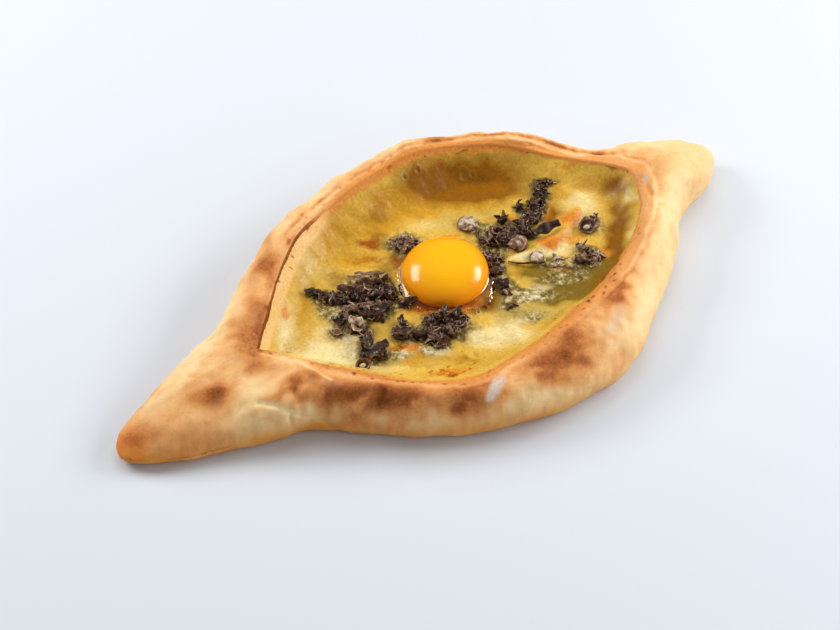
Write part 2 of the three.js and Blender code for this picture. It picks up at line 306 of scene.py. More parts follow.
def facing(stations):
    """The directions of evenly spaced stations, and the unit vector of each."""
    turn = np.arange(stations) * 2 * np.pi / stations
    return turn, np.stack([np.cos(turn), np.sin(turn)], axis=1)


def grid_normals(grid):
    """Unit normals of a grid of rings by stations."""
    along = np.roll(grid, -1, axis=1) - np.roll(grid, 1, axis=1)
    across = np.gradient(grid, axis=0)
    normal = np.cross(along, across)
    length = np.linalg.norm(normal, axis=-1, keepdims=True)
    return normal / np.maximum(length, 1e-9)


def add_object(name, data):
    """A new object in the scene."""
    thing = bpy.data.objects.new(name, data)
    bpy.context.scene.collection.objects.link(thing)
    return thing


def add_piece(name, points, faces, material, marks=None, replaced=()):
    """A smooth mesh piece from points in millimetres, with its painted marks, riding on the root.

    A mark may leave out the last points, which are then 0.
    """
    mesh = bpy.data.meshes.new(name)
    points = (points + TABLE_ORIGIN) * MM
    mesh.from_pydata(points.tolist(), [], faces)
    mesh.polygons.foreach_set("use_smooth", np.ones(len(mesh.polygons), bool))
    for mark, values in (marks or {}).items():
        layer = mesh.attributes.new(mark, "FLOAT", "POINT")
        values = np.pad(values, (0, len(points) - len(values)))
        layer.data.foreach_set("value", values.astype(np.float32))
    mesh.materials.append(material)
    mesh.validate()
    piece = add_object(name, mesh)
    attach(piece, "root")
    if replaced:
        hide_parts(*replaced)
    return piece


# ---------------------------------------------------------------- materials


def linear(hex_colour):
    """An sRGB hex colour as linear red, green and blue."""
    channels = [int(hex_colour[i : i + 2], 16) / 255 for i in (0, 2, 4)]
    return tuple(c / 12.92 if c <= 0.04045 else ((c + 0.055) / 1.055) ** 2.4 for c in channels)


def add_node(tree, kind, inputs=None, stops=None, **settings):
    """Adds a node: settings are its properties, inputs its sockets' values or what feeds them."""
    node = tree.nodes.new(kind)
    for name, value in settings.items():
        setattr(node, name, value)
    for socket, value in (inputs or {}).items():
        if isinstance(value, bpy.types.NodeSocket):
            tree.links.new(value, node.inputs[socket])
        else:
            node.inputs[socket].default_value = value
    if stops:
        ramp = node.color_ramp
        while len(ramp.elements) < len(stops):
            ramp.elements.new(1.0)
        for element, (place, colour) in zip(ramp.elements, stops):
            element.position = place
            element.color = (*colour, 1)
    return node


def start_material(name, marks=()):
    """A new node material: its tree, its shader, its object coordinates and its mesh's marks."""
    material = bpy.data.materials.new(name)
    material.use_nodes = True
    tree = material.node_tree
    tree.nodes.clear()
    shader = add_node(tree, "ShaderNodeBsdfPrincipled")
    add_node(tree, "ShaderNodeOutputMaterial", {"Surface": shader.outputs["BSDF"]})
    place = add_node(tree, "ShaderNodeTexCoord").outputs["Object"]
    painted = {
        mark: add_node(tree, "ShaderNodeAttribute", attribute_name=mark).outputs["Fac"]
        for mark in marks
    }
    return material, tree, shader, place, painted


def grain_scale(size):
    """Scale of a noise texture whose grains are about size millimetres across."""
    return 1 / (size * MM)


def baked_crust(settings):
    """Baked wheat dough: matte and floury, cream where it stayed soft, brown where it blistered."""
    material, tree, shader, place, marks = start_material(
        "baked_crust", ("browning", "butter", "flour", "foot")
    )
    mottle, pores = [
        add_node(
            tree,
            "ShaderNodeTexNoise",
            {"Vector": place, "Scale": grain_scale(size), "Detail": detail, "Roughness": rough},
        ).outputs["Fac"]
        for size, detail, rough in ((7, 4.0, 0.55), (1.3, 5.0, 0.78))
    ]
    baked = marks["browning"]
    for noise, amount in ((mottle, 0.28), (pores, 0.42)):
        baked = add_node(
            tree, "ShaderNodeMath", {0: noise, 1: amount, 2: baked}, operation="MULTIPLY_ADD"
        ).outputs[0]
    centred = add_node(tree, "ShaderNodeMath", {0: baked, 1: 0.35}, operation="SUBTRACT")
    shades = (settings.pale, settings.golden, settings.tan, settings.brown, settings.dark)
    stops = tuple(zip((0.0, 0.25, 0.5, 0.75, 1.0), shades))
    dough = add_node(tree, "ShaderNodeValToRGB", {"Fac": centred.outputs[0]}, stops)
    soaked = add_node(
        tree, "ShaderNodeMath", {0: pores, 1: -0.9, 2: marks["butter"]}, operation="MULTIPLY_ADD"
    )
    soaked = add_node(
        tree, "ShaderNodeMapRange", {"Value": soaked.outputs[0], "From Min": -0.45, "From Max": 0.35}
    )
    dusting = add_node(tree, "ShaderNodeMath", {0: marks["flour"], 1: pores}, operation="MULTIPLY")
    dusted = add_node(
        tree, "ShaderNodeMapRange", {"Value": dusting.outputs[0], "From Min": 0.22, "From Max": 0.5}
    )
    colour = dough.outputs["Color"]
    # The foot tint multiplies in painted shade and warm bounce light towards the bottom, with the oven
    # floor's browning.
    for share, tint, blend in (
        (marks["foot"], settings.foot, "MULTIPLY"),
        (soaked.outputs[0], settings.butter, "MIX"),
        (dusted.outputs[0], settings.flour, "MIX"),
    ):
        colour = add_node(
            tree,
            "ShaderNodeMix",
            {0: share, 6: colour, 7: (*tint, 1)},
            data_type="RGBA",
            blend_type=blend,
        ).outputs[2]
    tree.links.new(colour, shader.inputs["Base Color"])
    gloss = add_node(
        tree, "ShaderNodeMapRange", {"Value": marks["butter"], "To Min": 0.62, "To Max": 0.4}
    )
    tree.links.new(gloss.outputs[0], shader.inputs["Roughness"])
    skin = add_node(tree, "ShaderNodeBump", {"Height": pores, "Distance": 0.3 * MM, "Strength": 0.7})
    blisters = add_node(
        tree,
        "ShaderNodeBump",
        {"Height": mottle, "Distance": 0.5 * MM, "Strength": 0.25, "Normal": skin.outputs["Normal"]},
    )
    tree.links.new(blisters.outputs["Normal"], shader.inputs["Normal"])
    shader.inputs["Specular IOR Level"].default_value = 0.2
    shader.inputs["Subsurface Weight"].default_value = 0.12
    shader.inputs["Subsurface Radius"].default_value = (1.0, 0.5, 0.22)
    shader.inputs["Subsurface Scale"].default_value = 2.5 * MM
    return material


def melted_cheese(settings):
    """Melted brined cheese: oily and a little translucent, gold and toasted where it baked on."""
    material, tree, shader, place, marks = start_material("melted_cheese", CHEESE_MARKS)
    grains, crumbs, foam_grains, fleck_grains = [
        add_node(
            tree,
            "ShaderNodeTexNoise",
            {"Vector": place, "Scale": grain_scale(size), "Detail": detail, "Roughness": rough},
        ).outputs["Fac"]
        for size, detail, rough in (
            (3.6, 6.0, 0.62), (1.3, 4.0, 0.6), (2.4, 4.0, 0.75), (2.0, 2.0, 0.5)
        )
    ]
    foam_tone = add_node(
        tree, "ShaderNodeMath", {0: marks["froth"], 1: 0.1, 2: foam_grains}, operation="MULTIPLY_ADD"
    )
    foam_shades = (settings.foam_dark, settings.foam_middle, settings.froth, settings.foam_light)
    stops = tuple(zip((0.38, 0.52, 0.62, 0.72), foam_shades))
    foam = add_node(tree, "ShaderNodeValToRGB", {"Fac": foam_tone.outputs[0]}, stops)
    colour = (*settings.yellow, 1)
    # Each layer: its mark, colour and noise, how far the noise breaks it up, the range over which
    # it comes in, and its share where it is strongest.
    # Amber, gold and olive also carry painted shade on the walls and beside the raised strand.
    for mark, tint, noise, break_up, low, high, most in (
        ("pale", settings.cream, grains, -0.35, -0.12, 0.68, 1.0),
        ("beige", settings.beige, grains, -0.35, -0.12, 0.68, 1.0),
        ("gold", settings.gold, grains, -0.35, -0.12, 0.68, 1.0),
        ("amber", settings.amber, grains, -0.35, -0.1, 0.7, 1.0),
        ("olive", settings.olive, grains, -0.4, -0.1, 0.65, 1.0),
        ("orange", settings.orange, crumbs, -0.6, -0.1, 0.5, 1.0),
        ("rind", settings.rind, crumbs, -0.5, -0.1, 0.45, 1.0),
        ("strip", settings.strip, crumbs, -0.3, -0.05, 0.45, 1.0),
        ("froth", settings.froth, crumbs, -0.9, -0.15, 0.5, 1.0),
        ("soaked", settings.soaked, grains, -0.7, -0.15, 0.5, 1.0),
        ("toast", settings.toast, crumbs, -0.7, -0.12, 0.5, 1.0),
        ("speckle", foam.outputs["Color"], grains, -0.7, -0.15, 0.35, 0.85),
        ("flecks", settings.toast, fleck_grains, 6.25, 4.625, 5.125, 0.8),
    ):
        broken = add_node(
            tree, "ShaderNodeMath", {0: noise, 1: break_up, 2: marks[mark]}, operation="MULTIPLY_ADD"
        )
        share = add_node(
            tree,
            "ShaderNodeMapRange",
            {"Value": broken.outputs[0], "From Min": low, "From Max": high, "To Max": most},
        )
        if not isinstance(tint, bpy.types.NodeSocket):
            tint = (*tint, 1)
        colour = add_node(
            tree, "ShaderNodeMix", {0: share.outputs[0], 6: colour, 7: tint}, data_type="RGBA"
        ).outputs[2]
    mottle = add_node(tree, "ShaderNodeMapRange", {"Value": crumbs, "To Min": 0.62, "To Max": 1.38})
    mottled = add_node(
        tree, "ShaderNodeVectorMath", {0: colour, 1: mottle.outputs[0]}, operation="MULTIPLY"
    )
    tree.links.new(mottled.outputs[0], shader.inputs["Base Color"])
    dry = add_node(
        tree, "ShaderNodeMath", {0: marks["soaked"], 1: -0.5, 2: grains}, operation="MULTIPLY_ADD"
    )
    sheen = add_node(
        tree,
        "ShaderNodeMapRange",
        {"Value": dry.outputs[0], "From Min": 0.2, "From Max": 0.6, "To Min": 0.16, "To Max": 0.5},
    )
    tree.links.new(sheen.outputs[0], shader.inputs["Roughness"])
    relief = add_node(tree, "ShaderNodeBump", {"Height": crumbs, "Distance": 0.4 * MM, "Strength": 0.5})
    foam_height = add_node(
        tree, "ShaderNodeMath", {0: foam_grains, 1: marks["speckle"]}, operation="MULTIPLY"
    )
    foam_relief = add_node(
        tree,
        "ShaderNodeBump",
        {
            "Height": foam_height.outputs[0],
            "Distance": 2 * MM,
            "Strength": 0.6,
            "Normal": relief.outputs["Normal"],
        },
    )
    tree.links.new(foam_relief.outputs["Normal"], shader.inputs["Normal"])
    shader.inputs["Subsurface Weight"].default_value = 0.2
    shader.inputs["Subsurface Radius"].default_value = (1.0, 0.7, 0.25)
    shader.inputs["Subsurface Scale"].default_value = 2 * MM
    shader.inputs["Specular IOR Level"].default_value = 0.22
    shader.inputs["Coat Weight"].default_value = 0.06
    shader.inputs["Coat Roughness"].default_value = 0.15
    return material


def raw_yolk(settings):
    """Raw hen's yolk in its membrane: deep yellow, glossy and lit a little from inside."""
    material, tree, shader, place, _ = start_material("raw_yolk")
    # Painted light and shade: the colour runs from deep orange underneath, in shade, to the lit yellow
    # crown.
    height = add_node(tree, "ShaderNodeSeparateXYZ", {0: place}).outputs["Z"]
    level = add_node(
        tree, "ShaderNodeMapRange", {"Value": height, "From Min": 12 * MM, "From Max": 25 * MM}
    )
    clouds = add_node(
        tree, "ShaderNodeTexNoise", {"Vector": place, "Scale": grain_scale(9.0), "Detail": 2.0}
    )
    mixed = add_node(
        tree,
        "ShaderNodeMath",
        {0: clouds.outputs["Fac"], 1: 0.2, 2: level.outputs[0]},
        operation="MULTIPLY_ADD",
    )
    body = add_node(
        tree,
        "ShaderNodeValToRGB",
        {"Fac": mixed.outputs[0]},
        stops=((0.05, settings.deep), (0.5, settings.middle), (1.0, settings.crown)),
    )
    tree.links.new(body.outputs["Color"], shader.inputs["Base Color"])
    shader.inputs["Roughness"].default_value = 0.22
    shader.inputs["Subsurface Weight"].default_value = 0.35
    shader.inputs["Subsurface Radius"].default_value = (1.0, 0.45, 0.08)
    shader.inputs["Subsurface Scale"].default_value = 4 * MM
    shader.inputs["Specular IOR Level"].default_value = 0.12
    shader.inputs["Coat Weight"].default_value = 1.0
    shader.inputs["Coat Roughness"].default_value = 0.17
    shader.inputs["Coat IOR"].default_value = 1.45
    return material


def wet_mushroom(settings):
    """Chopped forest mushroom fried in butter: near black to taupe, wet with fat."""
    material, tree, shader, place, marks = start_material("wet_mushroom", ("tone",))
    fibres = add_node(
        tree,
        "ShaderNodeTexNoise",
        {"Vector": place, "Scale": grain_scale(1.2), "Detail": 4.0, "Roughness": 0.7},
    ).outputs["Fac"]
    uneven = add_node(
        tree, "ShaderNodeMath", {0: fibres, 1: 0.75, 2: marks["tone"]}, operation="MULTIPLY_ADD"
    )
    flesh = add_node(
        tree,
        "ShaderNodeValToRGB",
        {"Fac": uneven.outputs[0]},
        stops=(
            (0.34, settings.black),
            (0.5, settings.brown),
            (0.74, settings.taupe),
            # The beige stop is partly the palest flesh and partly painted glints in the grain.
            (0.95, settings.beige),
        ),
    )
    tree.links.new(flesh.outputs["Color"], shader.inputs["Base Color"])
    gills = add_node(tree, "ShaderNodeBump", {"Height": fibres, "Distance": 0.4 * MM, "Strength": 0.7})
    tree.links.new(gills.outputs["Normal"], shader.inputs["Normal"])
    shader.inputs["Roughness"].default_value = 0.4
    shader.inputs["Specular IOR Level"].default_value = 0.4
    shader.inputs["Coat Weight"].default_value = 0.4
    shader.inputs["Coat Roughness"].default_value = 0.08
    return material


def clear_egg_white():
    """Raw egg white: clear, thin and glossy, seen only by its shine and its edge."""
    material, tree, shader, place, _ = start_material("clear_egg_white")
    waves = add_node(
        tree, "ShaderNodeTexNoise", {"Vector": place, "Scale": grain_scale(3.0), "Detail": 2.0}
    )
    relief = add_node(
        tree, "ShaderNodeBump", {"Height": waves.outputs["Fac"], "Distance": 0.3 * MM, "Strength": 0.4}
    )
    tree.links.new(relief.outputs["Normal"], shader.inputs["Normal"])
    shader.inputs["Base Color"].default_value = (*linear("ffe9b8"), 1)
    shader.inputs["Roughness"].default_value = 0.04
    shader.inputs["IOR"].default_value = 1.36
    shader.inputs["Transmission Weight"].default_value = 1.0
    return material


def pale_floor(settings):
    """Matte painted board: pale and slightly cool."""
    material, _, shader, *_ = start_material("pale_floor")
    shader.inputs["Base Color"].default_value = (*settings.floor, 1)
    shader.inputs["Roughness"].default_value = 0.9
    shader.inputs["Specular IOR Level"].default_value = 0.1
    return material


# ---------------------------------------------------------------- crust

# Browned patches of the crust: x, y, z, half length, half width, turn, strength. One below 0
# keeps the dough pale.
BROWN_PATCHES = (
    (134, 8, 20, 24, 22, 15, 0.05),  # faint tan over the short tail
    (-111, -6.5, 19.5, 7, 5, -20, 0.55),  # spot on the long tail
    (-113, -5, 20, 12, 8, -25, 0.26),
    (-144, -2, 11, 11, 8, 10, 0.28),  # tip
    (-147, -3, 9.5, 5, 5, 10, 0.12), (-131, -7, 14.5, 12, 3, 15, 0.2),
    (-115, -14, 14, 34, 9, 13, 0.15),
    (-77, 17, 25, 12, 8, 60, 0.3),  # left flank
    (-84, 10, 25, 9, 8, 50, 0.3), (-58, 40, 26, 8, 6, 55, 0.4), (-66, 30, 25.5, 16, 9, 55, 0.2),
    (-89, -1, 24, 9, 6, 0, 0.34),  # corner of the opening
    (-81.5, -26, 21.5, 2.8, 7, -75, 0.2), (-52, -45, 22.8, 6, 4, -35, 0.14),
    (-29, -63, 18, 6, 4, -20, 0.18), (-21, -64, 22, 4, 5, -20, 0.16),
    (-22, -67, 18, 7, 4, -20, 0.14), (14, -66, 23, 10, 7, 10, 0.25), (24, -68, 21, 12, 8, 15, 0.2),
    (34, -70, 20, 9, 6, 15, 0.18), (28, -60, 23.5, 14, 5, 15, 0.16),
    (61, -52.5, 23.3, 9, 6, 40, 0.3), (51, -58, 24, 5, 4, 40, 0.16),
    (-112, -5, 19, 10, 8, -20, 0.16), (-128, -6, 16, 12, 8, 10, 0.16),
    (-140, -4, 12, 8, 6, 10, 0.1), (-79, -22, 23.4, 7, 5, -40, 0.3),
    (-74, -17, 24.4, 6, 3, -40, 0.06), (-51, 52, 23, 8, 5, 50, 0.58),
    (3, 66.6, 26.5, 9, 4, 10, 0.2), (43, 65, 26, 9, 3, -20, 0.4), (60, 58, 25.6, 8, 4, -30, 0.16),
    (90, 38, 19.5, 8, 4, -50, 0.25), (101, 24, 20.7, 6, 4, -50, 0.28),
    (66, -37, 20.5, 8, 3, 42, 0.3), (-47, -51, 22, 4, 4, -35, 0.14),
    (101, -16, 24, 7, 5, 80, -0.12), (-43, 49, 25, 7, 3, 45, 0.3), (-63, 31, 25.5, 6, 3, 58, 0.2),
    (122, 7, 17, 8, 8, 0, -0.12), (-106, 15, 17, 12, 6, 40, -0.14), (46, -74, 14, 9, 6, 10, 0.2),
    (25, -73, 17, 8, 5, 10, 0.22), (0, -61, 24, 5, 3, -5, 0.22), (58, -55, 24, 6, 4, 40, 0.16),
    (-86, -6, 24, 6, 7, -60, 0.18), (33, -64, 22, 5, 9, 60, 0.16), (-18, -60, 23, 8, 3, -10, 0.16),
    (-4, -69, 17, 8, 5, 0, 0.22), (33, -75, 12, 10, 6, 0, 0.1), (103, -30, 16, 7, 5, 60, 0.15),
)
# Browned band round the rim, by direction: its strength and the section that it reaches down to.
BROWN_BAND = (
    (10, 0.04, 3.1), (28, 0.16, 2.9), (50, 0.06, 2.95), (70, 0.12, 2.95), (90, 0.16, 2.9),
    (108, 0.12, 3.0), (118, 0.04, 3.1), (128, 0.12, 3.0), (140, 0.16, 2.85), (165, 0.1, 2.8),
    (178, 0.2, 2.9), (186, 0.2, 3.1), (192, 0.2, 3.0), (196, 0.36, 2.75), (199, 0.5, 2.6),
    (202, 0.42, 2.6), (205, 0.64, 2.35), (212, 0.68, 2.25), (217, 0.7, 2.15), (222, 0.68, 2.2),
    (227, 0.6, 2.3), (232, 0.44, 2.5), (237, 0.46, 2.5), (241, 0.54, 2.3), (246, 0.56, 2.3),
    (250, 0.5, 2.4), (255, 0.44, 2.5), (260, 0.2, 2.75), (266, 0.32, 2.7), (271, 0.46, 2.6),
    (276, 0.46, 2.6), (281, 0.4, 2.65), (287, 0.4, 2.75), (295, 0.38, 2.8), (303, 0.36, 2.8),
    (309, 0.4, 2.8), (316, 0.3, 2.9), (326, 0.12, 3.1), (355, 0.0, 3.2),
)
# How strong the toasted crumbs along the lip are, by direction.
CRUMB_TOAST = (
    (0, 0.1), (60, 0.4), (90, 0.5), (125, 0.3), (195, 0.3), (210, 0.7), (240, 0.3), (300, 0.6),
    (335, 0.6),
)
# Lip that browned dry, without butter, like BROWN_PATCHES.
DRY_LIP_PATCHES = ((66, -37.5, 20.5, 9, 3.4, 42, 0.8), (48, -48, 22, 8, 3, 30, 0.5))
# Pinkish-brown line round the rim, by direction: its strength and the section that it follows.
PINK_LINE = (
    (0, 0.22, 3.0), (20, 0.3, 2.95), (40, 0.34, 3.1), (60, 0.3, 3.3), (90, 0.24, 3.4),
    (120, 0.3, 3.4), (138, 0.2, 3.4), (150, 0.0, 3.3), (300, 0.0, 3.1), (320, 0.16, 3.1),
    (345, 0.22, 3.0),
)
# How strongly the lower dough is tinted, by direction: partly the oven floor's browning and partly
# painted shade and warm bounce light, darker and more golden towards the bottom.
FOOT_TINT_AND_SHADE = (
    (0, 0.25), (60, 0.6), (150, 0.7), (180, 0.9), (265, 0.9), (285, 0.5), (310, 0.3), (340, 0.15),
)
# Flour that was left on the crust, like BROWN_PATCHES.
FLOUR_PATCHES = (
    (-8, -64, 22.6, 7, 3.8, 35, 0.95), (-13.5, -66.5, 20.8, 6, 2.6, 40, 0.85),
    (55, -58, 22.5, 10, 6, 35, 0.56), (108, -1.5, 24.5, 4, 2, 60, 1.0),
    (-66, -30, 24.6, 9, 3.5, -35, 0.5), (-77, 17, 25, 12, 7, 60, 0.48),
    (40, -66, 21, 14, 7, 15, 0.44), (-75, -22, 24, 6, 3, -45, 0.4),
    (-110, -10, 18, 10, 5, 20, 0.5), (-60, 36, 25.5, 7, 4, 55, 0.36), (17, -66, 23, 8, 5, 10, 0.3),
)
# Grooves and folds: width, depth, how much painted shade darkens them, where below 0 a painted
# highlight lightens them instead, and the bent line that each follows. A fold with a depth below 0
# stands out.
FOLDS = (
    (1.1, 0.9, 0.3, ((75.6, 49.4, 24.2), (84.5, 44.1, 21.1), (91, 38.3, 19), (103, 25.7, 20))),
    (1.0, 0.7, 0.3, ((75, 45, 22.8), (82.8, 38.3, 20.9), (91.5, 29.8, 20.7), (100, 19.5, 21.6))),
    (1.4, 0.9, 0.3, ((107, 0, 24.3), (105.2, -9.4, 24.6))),
    (
        0.9, 1.0, -0.9,
        ((-96, -20, 19.6), (-91, -24, 19.4), (-84, -30, 16.5), (-77, -34, 12), (-69, -38.5, 5)),
    ),
    (0.8, 0.9, -0.5, ((-87, -29.4, 16), (-86.4, -31.3, 8.2))),
    (1.9, -1.7, -0.35, ((-53, -40, 25), (-55.5, -42.5, 23), (-60, -42, 21), (-63, -42.5, 18.5))),
    (
        1.0, -0.6, -0.35,
        (
            (-83.6, -0.8, 24.6), (-78.2, -6.3, 24.6), (-72.7, -12.5, 24.8), (-69.7, -20.7, 25),
            (-66.9, -28.1, 25),
        ),
    ),
    (1.4, 1.2, 0.2, ((-51.5, -44.5, 24.2), (-54.6, -46, 20.5))),
    (1.6, 0.7, 0.15, ((-81.5, -24, 23), (-81.5, -27, 20), (-81, -29, 16))),
    (8.0, 1.6, 0.0, ((0, 66, 22.5), (7, 67, 23.5), (14, 68, 24))),
    (5.0, -0.9, 0.0, ((-50, 49, 26), (-60, 35, 25.5), (-70, 22, 25.5), (-80, 9, 25.5))),
)
# Rings of points in each part of the crust's section.
UNDERSIDE_RINGS, FOOT_RINGS, WALL_RINGS, LIP_RINGS, STRIP_RINGS = 7, 8, 46, 20, 9


def crust_sections(count):
    """Every station round the boat: its plan points and heights, from the foot to the lip."""
    outline = closed_edge(outer_edge, TAILS[0][1], TAILS[1][1], 4000)
    outer = spaced_evenly(outline, count)
    tangent = np.roll(outer, -1, axis=0) - np.roll(outer, 1, axis=0)
    tangent /= np.linalg.norm(tangent, axis=1)[:, None]
    turn = direction_of(outer)
    offset = outer - OPENING
    distance = np.linalg.norm(offset, axis=1)
    outward = offset / distance[:, None]
    reach = lip_reach(turn)
    rim = distance - reach
    tailness = np.clip((rim - 30) / 25, 0, 1)  # 0 beside the filling, 1 out on a tail
    crest_z, lip_z = rim_heights(turn)
    lip_width = np.minimum(LIP_WIDTH, 0.45 * rim)
    return {
        "outer": outer,
        "foot": outer + FOOT_INSET * np.stack([-tangent[:, 1], tangent[:, 0]], axis=1),
        "turn": turn,
        "outward": outward,
        "reach": reach,
        "tailness": tailness,
        "crest": OPENING + outward * (reach + lip_width)[:, None],
        "crest_z": crest_z,
        "lip_z": lip_z,
        "bulge_z": 8 - 2 * tailness,
    }


def crust_grid(count):
    """The crust as a grid of rings by stations, and how far each ring is along the section.

    The section runs 0 under the middle, 1 at the foot, 2 at the bulge, 3 at the crest, 4 at the
    lip and 5 where the dough goes under the cheese.
    """
    s = crust_sections(count)
    rings, sections = [], []

    def add(plan, height, section):
        rings.append(np.column_stack([plan, np.broadcast_to(height, count)]))
        sections.append(section)

    def between(a, b, share):
        return a + (b - a) * share

    for share in np.linspace(0.08, 1, UNDERSIDE_RINGS + 1)[:-1]:
        add(between(OPENING, s["foot"], share), 0, share)
    for share in np.linspace(0, 1, FOOT_RINGS + 1)[:-1]:
        turn = share * math.pi / 2
        plan = between(s["foot"], s["outer"], math.sin(turn))
        add(plan, s["bulge_z"] * (1 - math.cos(turn)), 1 + share)
    for share in np.linspace(0, 1, WALL_RINGS + 1)[:-1]:
        out = math.cos(share * math.pi / 2)
        rise = (1 - out ** (2 - 0.5 * s["tailness"])) ** (0.5 + 0.25 * s["tailness"])
        height = between(s["bulge_z"], s["crest_z"], rise)
        add(between(s["crest"], s["outer"], out), height, 2 + share)
    lip = OPENING + s["outward"] * s["reach"][:, None]
    for share in np.linspace(0, 1, LIP_RINGS + 1)[:-1]:
        height = between(s["crest_z"], s["lip_z"], share**2)
        add(between(s["crest"], lip, share), height, 3 + share)
    strip = 1.2 + 0.3 * ripples(lip, 9, 31)
    for share in np.linspace(0, 1, STRIP_RINGS):
        inwards = share * (strip + 3.5)
        plan = lip - s["outward"] * inwards[:, None]
        below = 1.6 * smooth_step(0, 1, inwards / strip) ** 2 + 1.5 * share**4 - 0.2
        height = np.where(share == 0, s["lip_z"], cheese_level(plan) - below)
        add(plan, height, 4 + share)
    floor = lip - s["outward"] * (WALL_RUN + 4)
    add(floor, FLOOR_HEIGHT, 5.2)
    return np.array(rings), np.array(sections), s


def make_crust(settings):
    """The boat of baked dough, with its lumps, folds, browning, buttered lip and flour."""
    count = settings.stations
    grid, sections, s = crust_grid(count)
    rings = len(grid)
    normals = grid_normals(grid)
    points = grid.reshape(-1, 3)
    section = np.repeat(sections, count)
    turn = np.tile(s["turn"], rings)

    shown = smooth_step(1.0, 1.6, section) * (1 - 0.8 * smooth_step(3.5, 4.0, section))
    lumps = (
        0.5 * ripples(points, 34, 1)
        + 0.3 * ripples(points, 15, 2)
        + 0.12 * ripples(points, 6, 3)
        + 0.05 * ripples(points, 2.8, 4)
    )
    height = settings.lumps / MM * lumps
    # Painted shade in the grooves, and painted highlights along lit edges where the tint is below 0.
    fold_shade_and_highlight = np.zeros(len(points))
    for width, depth, tint, path in FOLDS:
        near = bell(distance_to_path(points, path), width)
        height -= depth * near
        fold_shade_and_highlight += tint * near
    crumbly = smooth_step(3.55, 3.85, section)
    height += 0.45 * crumbly * np.abs(ripples(points, 2.2, 14))
    points = points + normals.reshape(-1, 3) * (height * shown)[:, None]
    points[:, 2] = np.maximum(points[:, 2], 0)
    points[section < 1.05, 2] = 0

    warped = points + 1.2 * ripples_each_way(points, 13, (5, 6, 7))
    blotch = 1 + 0.16 * ripples(points, 14, 8)
    band_strength, band_from = round_columns(turn, BROWN_BAND)
    streaks = 0.12 * ripples(points[:, :2], 6, 12) + 0.1 * ripples(points, 12, 13)
    band = band_strength * smooth_step(band_from - 0.4, band_from + 0.3, section + streaks)
    drips = np.column_stack([60 * np.radians(turn), 4 * section, 4 * section])
    band = band * (1 + 0.3 * ripples(drips, 7, 17))
    browning = (band + soft_patches(warped, BROWN_PATCHES)) * blotch
    line_strength, line_at = round_columns(turn, PINK_LINE)
    line = bell(section - line_at - 0.05 * ripples(points, 9, 15), 0.16)
    browning += line_strength * line * (1 + 0.4 * ripples(points, 5, 16))
    browning += 0.04 + 0.05 * ripples(points, 22, 9)
    browning += 0.06 * smooth_step(2.75, 3.2, section) * (1 - np.sin(turn))
    browning += fold_shade_and_highlight + 0.2 * (section < 1.1)
    toasted = round_table(turn, CRUMB_TOAST) * smooth_step(3.35, 3.65, section)
    toasted = 0.8 * toasted * smooth_step(0.2, 1.7, ripples(points, 2.9, 18))
    browning += toasted
    left = round_table(turn, LEFT_LIP)
    # Painted shade: a dark line along the left lip, where the crust meets the pale strip.
    browning += 0.6 * left * smooth_step(3.955, 3.995, section)
    # Painted shade and warm bounce light with the oven floor's browning, darker towards the bottom.
    foot = round_table(turn, FOOT_TINT_AND_SHADE) * (1 - smooth_step(5, 19, points[:, 2]))
    butter_from, butter = round_columns(turn, BUTTER)
    butter_from = butter_from + 0.05 * ripples(points, 7, 11)
    butter = butter * smooth_step(butter_from - 0.12, butter_from + 0.16, section)
    butter = butter * (1 - np.clip(1.5 * toasted + soft_patches(points, DRY_LIP_PATCHES), 0, 1))
    marks = {
        "browning": browning,
        "butter": butter,
        "flour": soft_patches(points, FLOUR_PATCHES),
        "foot": foot * (1 + 0.12 * ripples(points, 16, 10)),
    }
    points = np.vstack([points, [[*OPENING, 0], [*OPENING, FLOOR_HEIGHT]]])
    material = baked_crust(settings)
    faces = closed_faces(rings, count)
    return add_piece("crust", points, faces, material, marks, ["bread"])


# ---------------------------------------------------------------- cheese

# Patches of one colour on the cheese: x, y, half length, half width, turn, strength.
PALE_PATCHES = (
    (-57, -8, 11, 7, -31, 0.9), (-49, -13, 12, 7, -31, 0.55), (-50, 4, 7, 5, -31, 0.5),
    (-61, -1, 8, 6, 0, 0.5), (-69, 8, 7, 4, 58, 0.6), (-43, 38, 9, 5, 50, 0.4),
    (-33, 46, 8, 4, 35, 0.4), (-34, 34, 6, 4, 0, 0.3), (-40, -27, 10, 4, -24, 0.4),
    (11, -36, 11, 7, -31, 0.7), (18, -33, 6, 5, 59, 0.6), (-63, 14, 6, 5, 59, 0.5),
    (3, -32, 7, 5, -31, 0.6), (18, -43, 8, 4, -12, 0.4), (84, 9, 9, 6, 60, 0.65),
    (78, 15, 6, 5, 0, 0.4), (44, -4, 9, 2.2, -12, 1.0), (57, -6, 9, 3.4, 8, 0.75),
    (66, 7, 8, 4, 25, 0.5), (62, -9, 5, 3, -31, 0.6), (18, 34, 10, 4, -28, 0.4),
    (88, -22, 7, 1.8, 60, 0.5), (101, -1, 9, 1.4, 82, 0.7),
)
BEIGE_PATCHES = (
    (26, -30, 14, 6, -31, 0.85), (33, -37, 8, 5, -31, 0.5), (-35, -23, 7, 4, -31, 0.8),
    (-19, -32, 8, 4, -31, 0.5), (-47, 14, 6, 4, -31, 0.6), (40, 31, 14, 5, -28, 0.55),
    (26, 30, 9, 5, -28, 0.5), (20, -24, 6, 3, -31, 0.5), (66, 33, 10, 4, -24, 0.4),
)
